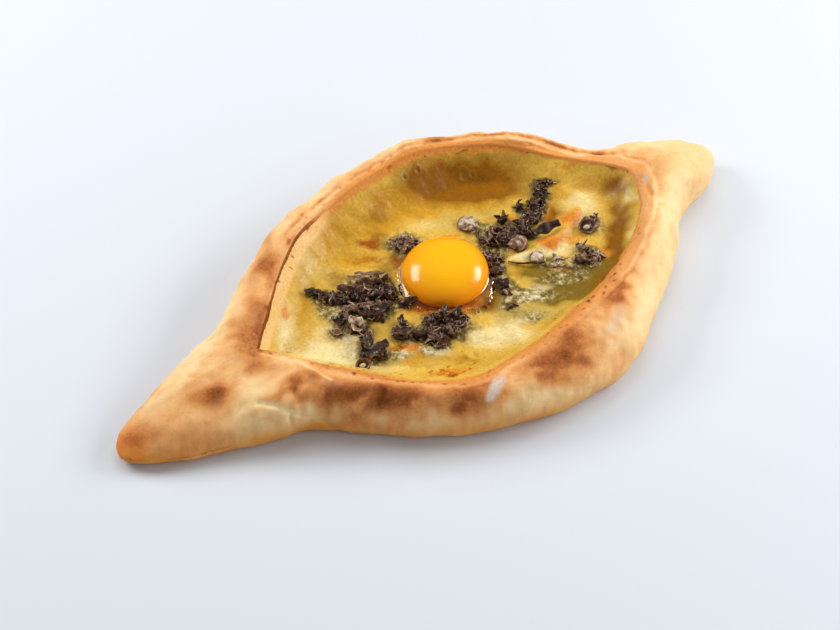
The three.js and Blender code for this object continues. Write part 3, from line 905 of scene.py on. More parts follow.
# Gold is cheese baked golden; along the far wall it is also painted shade.
GOLD_AND_WALL_SHADE_PATCHES = (
    (-22, 50, 16, 7, 30, 0.75), (-8, 45, 14, 6, 10, 0.75), (5, 43, 8, 6, 0, 0.6),
    (30, 42, 26, 6, -29, 0.9), (14, 50, 16, 6, -15, 0.8), (-48, 23, 8, 5, 55, 0.6),
    (-22, 34, 14, 6, -10, 0.5), (-12, 27, 10, 5, -31, 0.5), (93, 2, 7, 4, 80, 0.6),
    (91, 16, 7, 4, -30, 0.6), (40, -10, 7, 4, -31, 0.65), (98, -7, 5, 3, 70, 0.4),
    (-27, -27, 9, 4, -31, 0.7), (-12, -37, 9, 3, -31, 0.6), (-18, -43, 12, 3, -20, 0.6),
    (3, -48, 10, 2.4, -10, 0.4), (71, 12, 8, 5, 40, 0.5), (-55, 17, 8, 4, 55, 0.4),
    (-62, 4, 8, 3, 60, 0.35), (46, 31, 10, 4, -28, 0.4), (35, -42, 16, 2.4, 12, 0.5),
    (19, 40, 8, 3, -28, 0.5), (-19, 33, 6, 4, -31, 0.5), (-9, -5, 8, 4, -20, 0.8),
    (77, 20, 6, 4, -31, 0.7), (-6, -42, 6, 3, -20, 0.6), (-46, 33, 9, 5, 55, 0.4),
)
# Amber is browned and egg-soaked cheese; along the far and right walls it is also painted shade.
AMBER_AND_WALL_SHADE_PATCHES = (
    (47, 46, 28, 10.5, -27, 1.1), (44, 40, 22, 5.5, -28, 0.8), (26, 55, 9, 5, -15, 0.5),
    (2, 49, 5, 4, 0, 0.5), (4, 55, 9, 4, -4, 0.2), (-16, 59, 8, 2, 59, 0.55),
    (99, 8, 7, 4, -60, 0.85), (94, -4, 8, 4, 75, 0.75), (87, -12, 7, 5, 65, 0.95),
    (79, -21, 8, 5, 55, 1.1), (71, -30, 8, 5, 48, 1.0), (64, -37, 8, 4, 42, 1.0),
    (56, -22, 8, 4, -20, 0.55), (-10, -12, 7, 3.4, -31, 0.35), (67, 11, 5, 7, -31, 1.1),
    (-4, 39, 5, 4, -31, 0.7), (-3, 24, 5, 4, -31, 0.9), (61, -34.5, 7, 4, 30, 1.2),
    (16, -18, 5, 4, -31, 0.8), (48, 14, 7, 6, -31, 0.5), (13, -17, 14, 4.5, 20, 0.45),
    (27, -8, 7, 5, 59, 0.6),
)
# Olive is thin cheese over what lies below, and painted shade beside the raised strand.
OLIVE_AND_STRAND_SHADE_PATCHES = (
    (44, -15, 9, 4.5, -31, 0.85), (60, -26, 11, 6, -10, 1.0), (48, -30, 12, 6, -25, 0.85),
    (55, -38, 10, 4.5, -20, 1.0), (40, -27, 9, 6, -31, 0.75), (70, -24, 7, 5, 30, 0.7),
    (-30, 26, 8, 4, -31, 0.5), (-36, -4, 8, 5, -31, 0.6), (-22, -8, 7, 3, -31, 0.5),
    (-6, -41, 6, 2, -20, 0.4), (-17, -25, 7, 3, -31, 0.4), (-12, 20, 8, 4, 50, 0.6),
    (-43, 12, 6, 4, -31, 0.4), (78, 25, 7, 4, 50, 0.5), (24, -30, 10, 3, -31, 0.3),
    (25, -20, 6, 5, 59, 0.9), (47, -14, 9, 5, -31, 0.5), (55, -17, 8, 5, -31, 0.5),
)
ORANGE_PATCHES = (
    (56, -3, 5, 3.4, -31, 1.0), (71, 4, 6, 4, 30, 0.85), (76, 3, 5, 3, 30, 0.5),
    (50, 15, 3, 6, -31, 1.0), (66, 15, 4, 6, -31, 0.7), (54, -19, 6, 2, -31, 0.8),
    (71, -20, 5, 2.4, -31, 0.7), (-26, -21, 7, 3.4, -31, 1.4), (22, 23.5, 7, 1.6, -8, 0.8),
    (-18, -43.5, 6, 3, -31, 1.3), (-26, -41, 3, 2, -31, 0.6), (-9, -46, 4, 1.6, -10, 0.4),
    (-61.5, 20, 3.6, 1.7, 58, 1.0), (-69, 6, 3, 1.6, 50, 0.5), (-12, -3, 7, 2, -31, 0.5),
    (89, 27, 8, 1.8, -35, 0.6), (53, 58, 10, 1.8, -20, 0.7), (-26, 49, 9, 2, 40, 0.4),
    (-24, 22, 6, 2, -31, 0.5), (-8, -6, 9, 4, -20, 0.7), (-43, 47, 6, 3, 50, 0.7),
    (9, -15, 8, 3.4, 0, 0.7), (69, -6, 5, 4, -31, 0.5), (62, -3, 5, 3, -31, 0.5),
    (72, -20, 6, 5, -31, 0.6),
)
FROTH_PATCHES = (
    (33, -24, 7, 3.4, -31, 1.0), (41, -22, 7, 2.4, -31, 0.8), (26, -34, 6, 4, -31, 0.5),
    (20, -37, 7, 2, 59, 0.6), (-44, -5, 6, 4, -31, 0.9), (-47, -12, 8, 4, -31, 0.6),
    (-16, -30, 7, 3, -31, 0.9), (-29, -24, 5, 3, -31, 0.6), (61, -17, 7, 2.2, -31, 0.6),
    (36, 27, 5, 3, -31, 0.5), (82, -6, 4, 3, 30, 0.4), (-43, 9, 5, 3, -31, 0.6),
)
TOAST_PATCHES = (
    (-9.5, 37.5, 6, 3.6, -31, 1.1), (-14, 30, 6, 2.4, -31, 0.6), (-20, 32, 4, 2, -31, 0.35),
    (-31, 29.5, 3.4, 2, -31, 0.45), (16.5, 63, 2.6, 2, 10, 0.7), (27, 59, 2.2, 2, 0, 0.6),
    (38.5, 56.5, 3, 3.4, 0, 0.6), (-20, 54, 3, 1.4, 55, 0.3), (101.5, 14.5, 3, 1.6, -60, 0.8),
    (56, -3.5, 2.4, 1.8, 0, 0.35), (-19, -45.5, 4, 1.4, -20, 1.0), (-57, -24, 2.4, 1.0, -40, 1.0),
    (-40, -33, 3, 1, -30, 0.4), (-32, 51, 1.1, 0.9, 0, 0.9), (-45.5, 41, 1.1, 0.9, 0, 0.8),
    (-49, 37, 1.0, 0.8, 0, 0.8), (-61.5, 20, 2, 0.9, 58, 0.3), (32, 0, 5, 5, 59, 0.5),
    (-4, 22, 4, 7, -31, 0.6), (54, -20, 3, 1.2, -31, 0.4), (-28, -19, 4, 3, -31, 0.8),
    (-54, 36.5, 1.4, 0.8, 20, 1.3), (-58.5, 32, 0.9, 1.4, 20, 1.3),
    (-70.5, 1.5, 0.9, 1.2, 20, 1.2), (-74.5, -3, 0.9, 0.8, 0, 1.2), (-56, 43, 0.8, 0.8, 0, 1.0),
)
# Where foam and dark broth lie mixed in grains, in the same form.
SPECKLE_PATCHES = (
    (26.7, -19, 10, 4.6, 59, 1.0), (34, -24, 8, 4, -31, 1.1), (30, -20, 6, 4, -31, 0.8),
    (50, -22, 6, 3.6, -31, 1.0), (28.5, -35, 6, 4, -31, 0.75), (58.5, -23, 6, 6, -31, 0.9),
    (67, -18, 6, 6, -31, 1.0), (51, -12, 5, 4, -31, 0.9), (42, -18, 5, 3, -31, 0.5),
    (46, -30, 8, 3, -31, 0.35), (-43, 15, 6, 6, -31, 0.9), (-41, 8, 6, 5, -31, 0.9),
    (-45, 0, 6, 5, -31, 0.8), (-31, -23, 6, 3, -31, 0.65), (-18.5, -27.5, 6, 3, -31, 0.8),
    (-20, 5, 7, 5, -31, 0.8), (-10, -19, 7, 5, -31, 0.8), (2, -26, 6, 4, -31, 0.5),
    (36, 21.5, 6, 5, -31, 0.8), (5, 29, 8, 6, -31, 0.7), (-23, 21, 9, 4, -31, 0.7),
    (80, -5, 6, 5, -31, 0.6), (34, 6, 6, 6, 59, 0.6),
)
# Where toasted flecks lie thick, in the same form.
FLECK_PATCHES = (
    (24, 61, 7, 4, -5, 1.0), (56, 56, 9, 4, -27, 0.8), (-62, -14, 6, 5, -31, 0.6),
    (-53, -22, 10, 4, -28, 1.0), (-44, -33, 9, 4, -20, 1.0), (56, -36, 10, 3, 25, 1.0),
    (36, -43, 9, 3, 8, 0.9), (-40, 20, 20, 14, -31, 0.4), (-8, -24, 20, 12, -31, 0.7),
    (66, -18, 14, 9, -31, 0.9), (48, -24, 18, 9, -31, 0.7), (46, 12, 24, 12, -31, 0.6),
    (-18, -43, 12, 4, -25, 1.0), (-18, -40, 22, 6, -15, 0.6),
)
# Raised strands and lumps of cheese: half width, height and the bent line that each follows.
STRANDS = (
    (2.6, 1.8, ((33, -3), (44, -3), (54, -3), (64, -1), (73, 3), (79, 6))),
    (5.0, 1.0, ((62, 0), (72, 4), (80, 10))), (3.5, 1.0, ((72, 24), (82, 19), (88, 10))),
    (2.5, 0.9, ((50, 19), (52, 14))), (3.5, 0.8, ((54, -15), (62, -20), (68, -26))),
    (3.5, 1.2, ((-21, -26), (-14, -31))), (3.0, 0.9, ((18, -28), (16, -42))),
    (2.0, 0.8, ((-10, -37), (-7, -38))), (2.0, -0.8, ((-4, -40), (1, -42))),
    (3.0, 1.0, ((-46, -3), (-40, -7), (-38, -14))), (1.4, 0.6, ((-21, 25), (-14, 21))),
)
CHEESE_PATCHES = {
    "pale": PALE_PATCHES,
    "beige": BEIGE_PATCHES,
    "gold": GOLD_AND_WALL_SHADE_PATCHES,
    "amber": AMBER_AND_WALL_SHADE_PATCHES,
    "olive": OLIVE_AND_STRAND_SHADE_PATCHES,
    "orange": ORANGE_PATCHES,
    "froth": FROTH_PATCHES,
    "toast": TOAST_PATCHES,
    "speckle": SPECKLE_PATCHES,
    "flecks": FLECK_PATCHES,
}
CHEESE_MARKS = (*CHEESE_PATCHES, "rind", "strip", "soaked")
# Burst bubbles: x, y and radius.
BUBBLES = (
    (46.3, 49.8, 2.2), (20.5, 58.2, 1.2), (49.6, 48.0, 1.1), (27.5, 58.6, 1.5), (94, 6, 0.9),
    (10, -20, 0.9), (14, -19, 1.1), (18, -18, 0.8), (5, -21, 0.8), (22, -15, 0.7),
)


YOLK_SHADOW_LIFT = (-8, -4, 8, 4, -20, -1.4)  # painted light, unstaining the cheese in the yolk's shadow
CHEESE_UNDERSIDE = FLOOR_HEIGHT + 0.4
HIDDEN_INSET = 12.3  # from the lip in to the hidden underside


def plan_patches(plan, patches):
    """Sum of soft-edged patches on the cheese, seen from above."""
    flat = np.column_stack([plan, np.zeros(len(plan))])
    return soft_patches(flat, [(x, y, 0, *rest) for x, y, *rest in patches])


def bubble_rings(plan):
    """The raised edges of burst bubbles, and the hollows inside them."""
    rings, hollows = np.zeros(len(plan)), np.zeros(len(plan))
    for x, y, radius in BUBBLES:
        away = np.linalg.norm(plan - (x, y), axis=1)
        rings += bell(away - radius, 0.45)
        hollows += 1 - smooth_step(0.5 * radius, radius, away)
    return rings, hollows


def cheese_relief(plan):
    """Lumps, strands and froth that stand on the calm cheese."""
    flat = np.column_stack([plan, np.zeros(len(plan))])
    relief = 0.4 * ripples(plan, 18, 21) + 0.2 * ripples(plan, 8, 22) + 0.07 * ripples(plan, 3.6, 23)
    for width, height, path in STRANDS:
        line = [(x, y, 0) for x, y in path]
        relief += height * bell(distance_to_path(flat, line), width)
    froth = plan_patches(plan, FROTH_PATCHES)
    bumps = np.abs(ripples(plan, 2.4, 24)) + 0.6 * ripples(plan, 4.5, 27)
    relief += 0.42 * np.clip(froth, 0, 1) * bumps
    rings, hollows = bubble_rings(plan)
    return relief + 0.5 * rings - 0.4 * hollows


def cheese_top(plan):
    """Height of the finished cheese surface at plan points."""
    return cheese_level(plan) + cheese_relief(plan) * smooth_step(0, 6, lip_distance(plan))


def make_cheese(settings):
    """The melted cheese that fills the opening and climbs its walls."""
    count = settings.stations
    turn, outward = facing(count)
    reach = lip_reach(turn)
    climb = np.linspace(0, 0.3, 36)[:-1]  # closer rings where the cheese climbs to the lip
    shares = np.concatenate([climb, np.linspace(0.3, 0.965, 66)])
    rings = []
    for share in shares:
        plan = OPENING + outward * (reach * (1 - share) + CHEESE_OVERLAP)[:, None]
        rings.append(np.column_stack([plan, cheese_top(plan)]))
    for height in (FLOOR_HEIGHT + 2, CHEESE_UNDERSIDE):
        plan = OPENING + outward * (reach - HIDDEN_INSET)[:, None]
        rings.insert(0, np.column_stack([plan, np.full(count, height)]))
    points = np.concatenate(rings)
    plan = points[:, :2]
    warped = plan + 0.7 * ripples_each_way(plan, 8, (25, 26))
    distance = lip_distance(plan)
    direction = direction_of(plan)
    rind = round_table(direction, RIND_WIDTH) * (1 + 0.2 * ripples(plan, 7, 28))
    bubble_edge, bubble_hollow = bubble_rings(plan)
    lip_flecks = 1.0 - smooth_step(1.5, 4.5, distance)
    wet = [(x, y, 0.75 * long, 0.8 * wide, way, 0.8) for x, y, long, wide, way, *_ in MOUNDS]
    halo = [(x, y, 0.85 * long, 0.95 * wide, way, 0.55) for x, y, long, wide, way, *_ in MOUNDS]
    marks = {name: plan_patches(warped, patches) for name, patches in CHEESE_PATCHES.items()}
    # Paler on the bubbles' raised rims and darker olive in their hollows.
    marks["pale"] += 0.6 * bubble_edge
    marks["olive"] += 0.5 * bubble_hollow
    marks["flecks"] += lip_flecks * smooth_step(0.2, 1.2, ripples(plan, 16, 29))
    marks["speckle"] = np.clip(marks["speckle"] + plan_patches(warped, halo), 0, 1)
    marks["soaked"] = np.clip(plan_patches(warped, [*wet, YOLK_SHADOW_LIFT]), 0, 1)
    marks["rind"] = 1 - smooth_step(0.45 * rind, 1.35 * rind, distance)
    marks["strip"] = round_table(direction, LEFT_LIP) * (1 - smooth_step(2.8, 6.4, distance))
    middle = cheese_top(OPENING[None, :])[0]
    points = np.vstack([points, [[*OPENING, CHEESE_UNDERSIDE], [*OPENING, middle]]])
    faces, material = closed_faces(len(rings), count), melted_cheese(settings)
    return add_piece("cheese_fill", points, faces, material, marks, ["cheese"])


# ---------------------------------------------------------------- egg

# The yolk's widest circle, and how far it rises over it and hangs below it.
YOLK = {"x": 8.75, "y": 4.645, "z": 15.0, "radius": 18.9, "dome": 9.9, "belly": 5.8}
YOLK_RINGS, YOLK_STATIONS = 70, 140


def yolk_grid(rings, stations):
    """The yolk's skin as rings from its underside to its crown."""
    rise = np.linspace(-np.pi / 2, np.pi / 2, rings + 2)[1:-1]
    turn = np.arange(stations) * 2 * np.pi / stations
    up = np.where(rise < 0, YOLK["belly"], YOLK["dome"])
    out = YOLK["radius"] * np.cos(rise) ** 0.96
    x = YOLK["x"] + np.outer(out, np.cos(turn))
    y = YOLK["y"] + np.outer(out, np.sin(turn))
    z = YOLK["z"] + np.outer(up * np.sin(rise), np.ones(stations))
    return np.stack([x, y, z], axis=-1)


def make_yolk(settings):
    """One raw yolk, a flattened drop that lies on the cheese."""
    grid = yolk_grid(YOLK_RINGS, YOLK_STATIONS)
    points = grid.reshape(-1, 3)
    points = points + grid_normals(grid).reshape(-1, 3) * (0.12 * ripples(points, 22, 41))[:, None]
    x, y, z = YOLK["x"], YOLK["y"], YOLK["z"]
    points = np.vstack([points, [[x, y, z - YOLK["belly"]], [x, y, z + YOLK["dome"]]]])
    faces = closed_faces(YOLK_RINGS, YOLK_STATIONS)
    return add_piece("yolk_drop", points, faces, raw_yolk(settings), None, ["yolk"])


# How far the egg white spreads past the yolk, by direction from the yolk's middle.
WHITE_SPREAD = (
    (0, 1.6), (30, 1.4), (75, 1.4), (120, 1.8), (160, 2.2), (190, 3.0), (212, 5.0), (240, 3.6),
    (270, 3.6), (290, 5.0), (315, 3.4), (340, 2.0),
)
# Bubbles caught in the egg white: x, y and radius.
WHITE_BUBBLES = (
    (6.5, -17.5, 0.8), (8.5, -18.5, 1.1), (11, -18.8, 0.8), (13.5, -19.2, 1.3), (16.5, -18.2, 0.9),
    (18.5, -17.6, 0.7), (20.5, -16.2, 1.1), (23, -14.5, 0.8), (-10.5, -5.5, 0.8),
    (-9.5, 16.5, 0.7), (-10.4, 13.5, 0.8), (-6.5, 20.5, 0.7),
)
WHITE_STATIONS = 160
WHITE_OVERLAP = 1.4  # how far the egg white reaches in under the yolk's edge


def make_egg_white(settings):
    """Clear egg white that pooled round the yolk, with a few bubbles caught in it."""
    stations = WHITE_STATIONS
    turn, outward = facing(stations)
    middle = np.array([YOLK["x"], YOLK["y"]])
    spread = round_table(turn, WHITE_SPREAD)
    spread = spread * (1 + 0.06 * ripples(outward * 20, 14, 45))
    inner = YOLK["radius"] - WHITE_OVERLAP
    outer = YOLK["radius"] + spread
    depth = settings.white_height / MM
    rings = []
    for share in np.linspace(0, 1, 16):
        plan = middle + outward * (inner + (outer - inner) * share)[:, None]
        level = cheese_top(plan)
        calm = np.mean([np.roll(level, step) for step in range(-6, 7)], axis=0)
        rise = depth * (1 - share**1.7) ** 0.8
        rings.append(np.column_stack([plan, calm + 0.25 * (1 - share**3) + rise]))
    for share in (1.0, 0.5, 0.0):
        plan = middle + outward * (inner + (outer - inner) * share)[:, None]
        rings.append(np.column_stack([plan, cheese_top(plan) - 0.5]))
    faces = grid_faces(len(rings), stations)[:, ::-1].tolist()
    first = np.arange(stations)
    last, following = first + (len(rings) - 1) * stations, np.roll(first, -1)
    faces += np.stack([first, following, last[following], last], axis=1).tolist()
    parts = [(np.concatenate(rings[::-1]), faces, 0.0)]
    ball = half_circle(9)
    for x, y, radius in WHITE_BUBBLES:
        points, faces = turned_body([(radius * out, radius * up) for out, up in ball], 16)
        reach = math.hypot(x - middle[0], y - middle[1]) - YOLK["radius"]
        lift = 0.6 + max(0.0, 1 - reach / 4) * depth
        parts.append((laid_on_cheese(points, x, y, lift), faces, 0.0))
    points, faces, _ = joined(parts)
    add_piece("egg_white", points, faces, clear_egg_white())


# ---------------------------------------------------------------- mushrooms

# Mounds of chopped mushroom: x, y, length, width, turn, height over the cheese, tone.
MOUNDS = (
    (-45.5, 25.5, 5, 2.6, -31, 2.2, 0.06), (-42, 22.5, 6, 4, -31, 2.6, 0.06),
    (-40, 18.5, 7, 5, -31, 3.2, 0.08), (-36.5, 15.5, 9, 7, -31, 3.8, 0.08),
    (-29.5, 14.5, 10, 8, -31, 4.4, 0.08), (-23, 12, 11, 8, -31, 4.6, 0.1),
    (-17, 9, 8, 8, -31, 4.2, 0.12), (-36, 9.5, 7, 4, -31, 2.8, 0.34),
    (-29, 6, 9, 6, -31, 3.4, 0.2), (-24, 3, 9, 5, -31, 3.4, 0.1),
    (-29.5, 0.8, 11, 3.6, -31, 2.8, 0.05), (-18, 17, 7, 4, -31, 2.4, 0.12),
    (-46.5, 0.5, 5, 4, -31, 3, 0.22), (-39.5, -11, 14, 4.5, 59, 3.6, 0.06),
    (-38, 1, 6, 5, -31, 2.6, 0.14), (-21.5, -10, 4, 3, -31, 2.2, 0.1),
    (-42, 6, 4, 4, -31, 2.6, 0.12), (-37.5, -3.5, 5, 4, -31, 2.4, 0.1),
    (-38.5, -18, 10, 6, -31, 3.4, 0.06), (-42.5, -14.5, 5, 4, -31, 2.6, 0.08),
    (-24, -14, 8, 6, -31, 3.6, 0.06), (-18.5, -18, 6, 4, -31, 2.6, 0.05),
    (-10.5, -14.5, 6, 7, -31, 4, 0.08), (-4.5, -16.5, 9, 8, -31, 4.5, 0.06),
    (0.5, -21, 6, 7, -31, 3.6, 0.12), (-13, -22, 9, 8, -31, 4.5, 0.16),
    (-6.5, -24, 8, 7, -31, 4.6, 0.14), (-13, -27.5, 6, 3, -31, 2.2, 0.14),
    (2.5, 29, 10, 8, -31, 4, 0.3), (0.5, 32, 5, 4, -31, 3, 0.36), (5.5, 26.5, 4, 6, -31, 3, 0.2),
    (-13, 0, 7, 3, -12, 2.4, 0.12), (39.5, 12.5, 8, 9, -31, 4, 0.1),
    (43.5, 11.5, 6, 6, -31, 3.6, 0.12), (41.5, 7, 5, 5, -31, 3.2, 0.2),
    (35, 12, 6, 6, -31, 3.5, 0.16), (28.5, 5.5, 5, 5, -31, 3, 0.2), (31, 1, 7, 7, -31, 3.4, 0.16),
    (28.5, -5, 6, 4, -31, 3, 0.08), (69.5, 23.5, 6, 7, -31, 3.4, 0.06),
    (64.5, 18.5, 7, 7, -31, 4, 0.04), (60, 14, 7, 7, -31, 4, 0.05),
    (48, 10.5, 6, 5, -31, 3.4, 0.05), (74.5, 28, 8, 4, -31, 1.6, 0.1),
    (47, 19, 4, 4, -31, 3.4, 0.05), (57.5, 21.5, 3.4, 3.4, -31, 3, 0.12),
    # The low mound at (74.5, 28), with the stain round it, is painted shade: a dark heap where a shadow
    # falls on the cheese wall.
    (52.5, 11, 8, 5, 59, 3.6, 0.04), (81.5, -1, 3, 2, -31, 2, 0.14), (52, 6, 6, 4, -31, 2.8, 0.05),
    (45.5, 9.5, 8, 6, -31, 3, 0.05), (69.5, -16.5, 6, 3, -31, 1.8, 0.14),
    (62.5, -19, 5, 4, -31, 2.2, 0.16), (71, -21, 3, 3, -31, 1.6, 0.3),
    (66, -22, 4, 2.4, -31, 1.6, 0.26), (69, -12, 5, 2, -31, 1.6, 0.34),
    (52.5, -15.5, 5, 3, -31, 1.6, 0.44), (56.5, -12.5, 4, 2, -31, 1.6, 0.4),
    (26.5, -12.5, 7, 4, -31, 3, 0.02), (25.5, -17.5, 4, 2.6, -31, 1.6, 0.2),
    (23.5, -24.5, 4, 2.4, -31, 1.2, 0.26),
)
# Single slices: x, y, lift, length, width, thickness, yaw, pitch, roll, bend, tone.
SLICES = (
    (59, 2.5, 4.2, 13, 4.6, 1.4, -6, -4, 35, 0.5, 0.03),
    (51.5, 9, 4.0, 8, 4.5, 1.4, 70, 10, 60, 0.9, 0.06),
    (47, 19, 3.6, 5, 3.4, 1.4, 60, 0, 70, 0.8, 0.02),
    (32.5, 16.5, 3.0, 7, 2.6, 1.2, 60, 0, 80, 0.4, 0.01),
    (43, 2, 3.6, 8, 4.0, 1.2, -10, 0, 40, 1.8, 0.26),
    (42, -8, 1.2, 16, 0.9, 0.9, -30, 3, 0, 0.3, 0.02),
    (79.5, -2.6, 2.4, 4, 1.2, 0.8, 20, -20, 30, 1.4, 0.16),
    (80.5, -5, 2.2, 4, 1.0, 0.7, 70, -25, 30, 1.0, 0.16),
    (-37.5, 0.5, 3.0, 9, 4.0, 0.8, -50, 0, 30, 2.6, 0.42),
    (-40, -3, 2.6, 7, 3.0, 0.8, 100, 0, 20, 2.2, 0.36),
    (-40, -12.5, 3.6, 10, 3.6, 1.3, 62, 0, 30, 0.8, 0.05),
    (-38.5, -18, 3.6, 12, 5.0, 1.5, 14, 0, 20, 0.7, 0.05),
    (-24.5, -15, 3.8, 9, 5.0, 1.4, -20, 0, -20, 1.2, 0.08),
    (-45, 25, 2.4, 7, 3.0, 1.2, -33, 6, 15, 0.6, 0.05),
    (-32, 17, 4.2, 10, 3.6, 1.1, -34, 0, 30, 0.6, 0.12),
    (-23, 16, 4.6, 11, 3.4, 1.0, -26, 0, 40, 0.4, 0.16),
    (-19.5, 20.5, 3.6, 13, 2.4, 0.8, -29, 0, 10, 0.4, 0.3),
    (-26, 22, 3.2, 7, 2.0, 0.7, -31, 0, 0, 0.5, 0.28),
    (-29.8, 1, 3.0, 12, 4.0, 1.3, -25, 0, -10, 0.8, 0.03),
    (-24.5, 1.5, 3.2, 9, 4.0, 1.3, -5, 0, 10, 1.1, 0.05),
    (-13, -0.5, 2.6, 8, 2.6, 1.1, -8, 0, 30, 0.8, 0.1),
    (-4, -15.5, 4.6, 8, 3.0, 1.1, 55, -10, 60, 0.8, 0.02),
    (1, -18, 4.0, 6, 2.6, 1.0, 20, -10, 30, 0.8, 0.04),
    (-13, -27, 3.6, 9, 3.0, 1.1, -48, 0, 20, 0.6, 0.08),
    (-18.5, -18, 2.6, 7, 2.4, 1.1, -40, 0, 20, 0.5, 0.03),
    (26.5, -12.5, 2.8, 7, 3.0, 1.2, -31, 0, 20, 0.8, 0.02),
)
# Closed caps: x, y, lift, radius, height, tone of the middle, tone of the rim, yaw, pitch, roll.
CAPS = (
    (33, 25, 0.2, 5.0, 2.6, 0.5, 0.3, -31, 0, -10),
    (45, 2.5, 1.6, 4.2, 3.2, 0.5, 0.08, -31, 10, 10),
    (47.8, -7.5, 0.4, 3.4, 2.6, 0.62, 0.2, -31, 0, 20),
)
# Cut caps that lie on their backs: x, y, lift, radius, tone of the middle, yaw, pitch, roll.
CUT_CAPS = ((76.5, -3.8, 2.0, 4.2, 0.6, -20, 10, 30), (-47.3, -21.7, 1.8, 3.3, 0.9, -31, 0, 35))
# Section of a cut cap, from under its middle round its rolled edge to its stem, over its radius.
CUT_PROFILE = (
    (0, -0.5), (0.5, -0.45), (0.85, -0.2), (1.0, 0.12), (0.96, 0.26), (0.84, 0.2), (0.66, -0.08),
    (0.44, -0.12), (0.34, 0.06), (0.2, 0.14), (0, 0.14),
)
CORE_SHARE = 0.86  # size of a mound's dark core beside the mound
EDGE_DROP = 0.86  # how far the flakes sink towards a mound's edge: 1 is down to the cheese
HEAP_NODES = sorted(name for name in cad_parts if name.startswith("mushroom_heap"))
CAP_NODES = sorted(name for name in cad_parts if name.startswith("mushroom_cap"))


def turned(points, yaw, pitch, roll):
    """Points turned about X, then Y, then Z, in radians."""
    for angle, (a, b) in ((roll, (1, 2)), (pitch, (2, 0)), (yaw, (0, 1))):
        c, s = math.cos(angle), math.sin(angle)
        u, v = points[:, a].copy(), points[:, b].copy()
        points[:, a], points[:, b] = c * u - s * v, s * u + c * v
    return points


def curled_strip(length, width, thickness, bend, twist, draw, steps=9, sides=8):
    """A curled strip of mushroom flesh, swept along an arc, with ruffled edges."""
    along = np.linspace(0, 1, steps)
    around = np.arange(sides) * 2 * np.pi / sides
    taper = np.sin(np.pi * (0.07 + 0.86 * along)) ** draw.uniform(0.35, 0.8)
    angle = bend * (along - 0.5)
    radius = length / max(abs(bend), 0.05) * math.copysign(1, bend)
    centre_x, centre_z = radius * np.sin(angle), radius * (1 - np.cos(angle))
    ruffle = draw.uniform(0.15, 0.5) * thickness
    phase = draw.uniform(0, 6.28, 3)
    points = []
    for i in range(steps):
        side = 0.5 * width * taper[i] * np.cos(around)
        up = 0.5 * thickness * (0.6 + 0.4 * taper[i]) * np.sin(around)
        up = up + ruffle * np.sin(9 * along[i] + phase[0]) * np.abs(side) / width * 2
        side = side * (1 + 0.2 * math.sin(11 * along[i] + phase[1]))
        lean = twist * (along[i] - 0.5)
        y = side * math.cos(lean) - up * math.sin(lean)
        z = side * math.sin(lean) + up * math.cos(lean)
        c, s = math.cos(angle[i]), math.sin(angle[i])
        points.append(np.column_stack([centre_x[i] - s * z, y, centre_z[i] + c * z]))
    last = (steps - 1) * sides
    faces = grid_faces(steps, sides)[:, ::-1].tolist()
    faces += [list(range(sides)), list(range(last + sides - 1, last - 1, -1))]
    # The last value is 1 at the strip's two edges, which are painted paler: partly cut flesh and partly
    # painted highlight.
    return np.concatenate(points), faces, np.tile(np.cos(around) ** 6, steps)


def half_circle(count):
    """Profile of a ball of radius 1, for turned_body."""
    return [(math.cos(rise), math.sin(rise)) for rise in np.linspace(-np.pi / 2, np.pi / 2, count)]


def turned_body(profile, sides):
    """A closed body turned from (radius, height) points that start and end on the axis."""
    around = facing(sides)[1]
    rings = [
        np.column_stack([radius * around, np.full(sides, height)]) for radius, height in profile[1:-1]
    ]
    points = np.vstack([*rings, [[0, 0, profile[0][1]], [0, 0, profile[-1][1]]]])
    return points, closed_faces(len(rings), sides)


def joined(parts):
    """Several (points, faces, tone) as one set of points, faces and tones."""
    points, faces, tones, start = [], [], [], 0
    for some_points, some_faces, tone in parts:
        points.append(some_points)
        faces += [[v + start for v in face] for face in some_faces]
        tones.append(np.broadcast_to(tone, len(some_points)))
        start += len(some_points)
    return np.concatenate(points), faces, np.concatenate(tones)


def cheese_under(x, y):
    """Height of the cheese at one plan place."""
    return cheese_top(np.array([[x, y]], float))[0]


def laid_on_cheese(points, x, y, lift, *angles):
    """Points turned by yaw, pitch and roll in degrees and set down at a height over the cheese."""
    if angles:
        points = turned(points, *(math.radians(angle) for angle in angles))
    return points + (x, y, cheese_under(x, y) + lift)


def mound_core(mound, share):
    """The dark, lumpy inside of a mound under the flakes, partly painted shade between them."""
    x, y, length, width, turn, height, tone = mound
    points, faces = turned_body(half_circle(15), 30)
    points = points * (0.5 * length * share, 0.5 * width * share, 1)
    points[:, 2] = np.where(points[:, 2] > 0, points[:, 2] * height * share, points[:, 2] * 1.5)
    points = laid_on_cheese(points, x, y, 0, turn, 0, 0)
    bumps = ripples_each_way(points, 3.2, (51, 52, 53))
    # The cores are painted a little darker than their mound's tone: painted shade between the flakes.
    return points + 0.45 * bumps, faces, tone + 0.16 * ripples(points, 2.2, 54) - 0.08


def whole_caps():
    """Closed mushroom caps that stand on the cheese."""
    caps = []
    for x, y, lift, radius, height, middle, rim, yaw, pitch, roll in CAPS:
        profile = [(0, 0.25 * height), (0.55 * radius, 0.2 * height), (0.85 * radius, 0)]
        for angle in np.linspace(0, 1, 14) * math.pi / 2:
            bulge = radius * (1 - 0.06 * math.sin(3 * angle))
            profile.append((bulge * math.cos(angle), height * math.sin(angle) ** 0.9))
        points, faces = turned_body(profile, 64)
        reach = np.linalg.norm(points[:, :2], axis=1) / radius
        tone = middle + (rim - middle) * reach**3
        points += 0.06 * radius * ripples_each_way(points, 7, (60, 61, 62))
        points += 0.03 * radius * ripples_each_way(points, 1.8, (70, 71, 72))
        points = laid_on_cheese(points, x, y, lift, yaw, pitch, roll)
        caps.append((points, faces, tone + 0.13 * ripples(points, 2.2, 59)))
    return caps


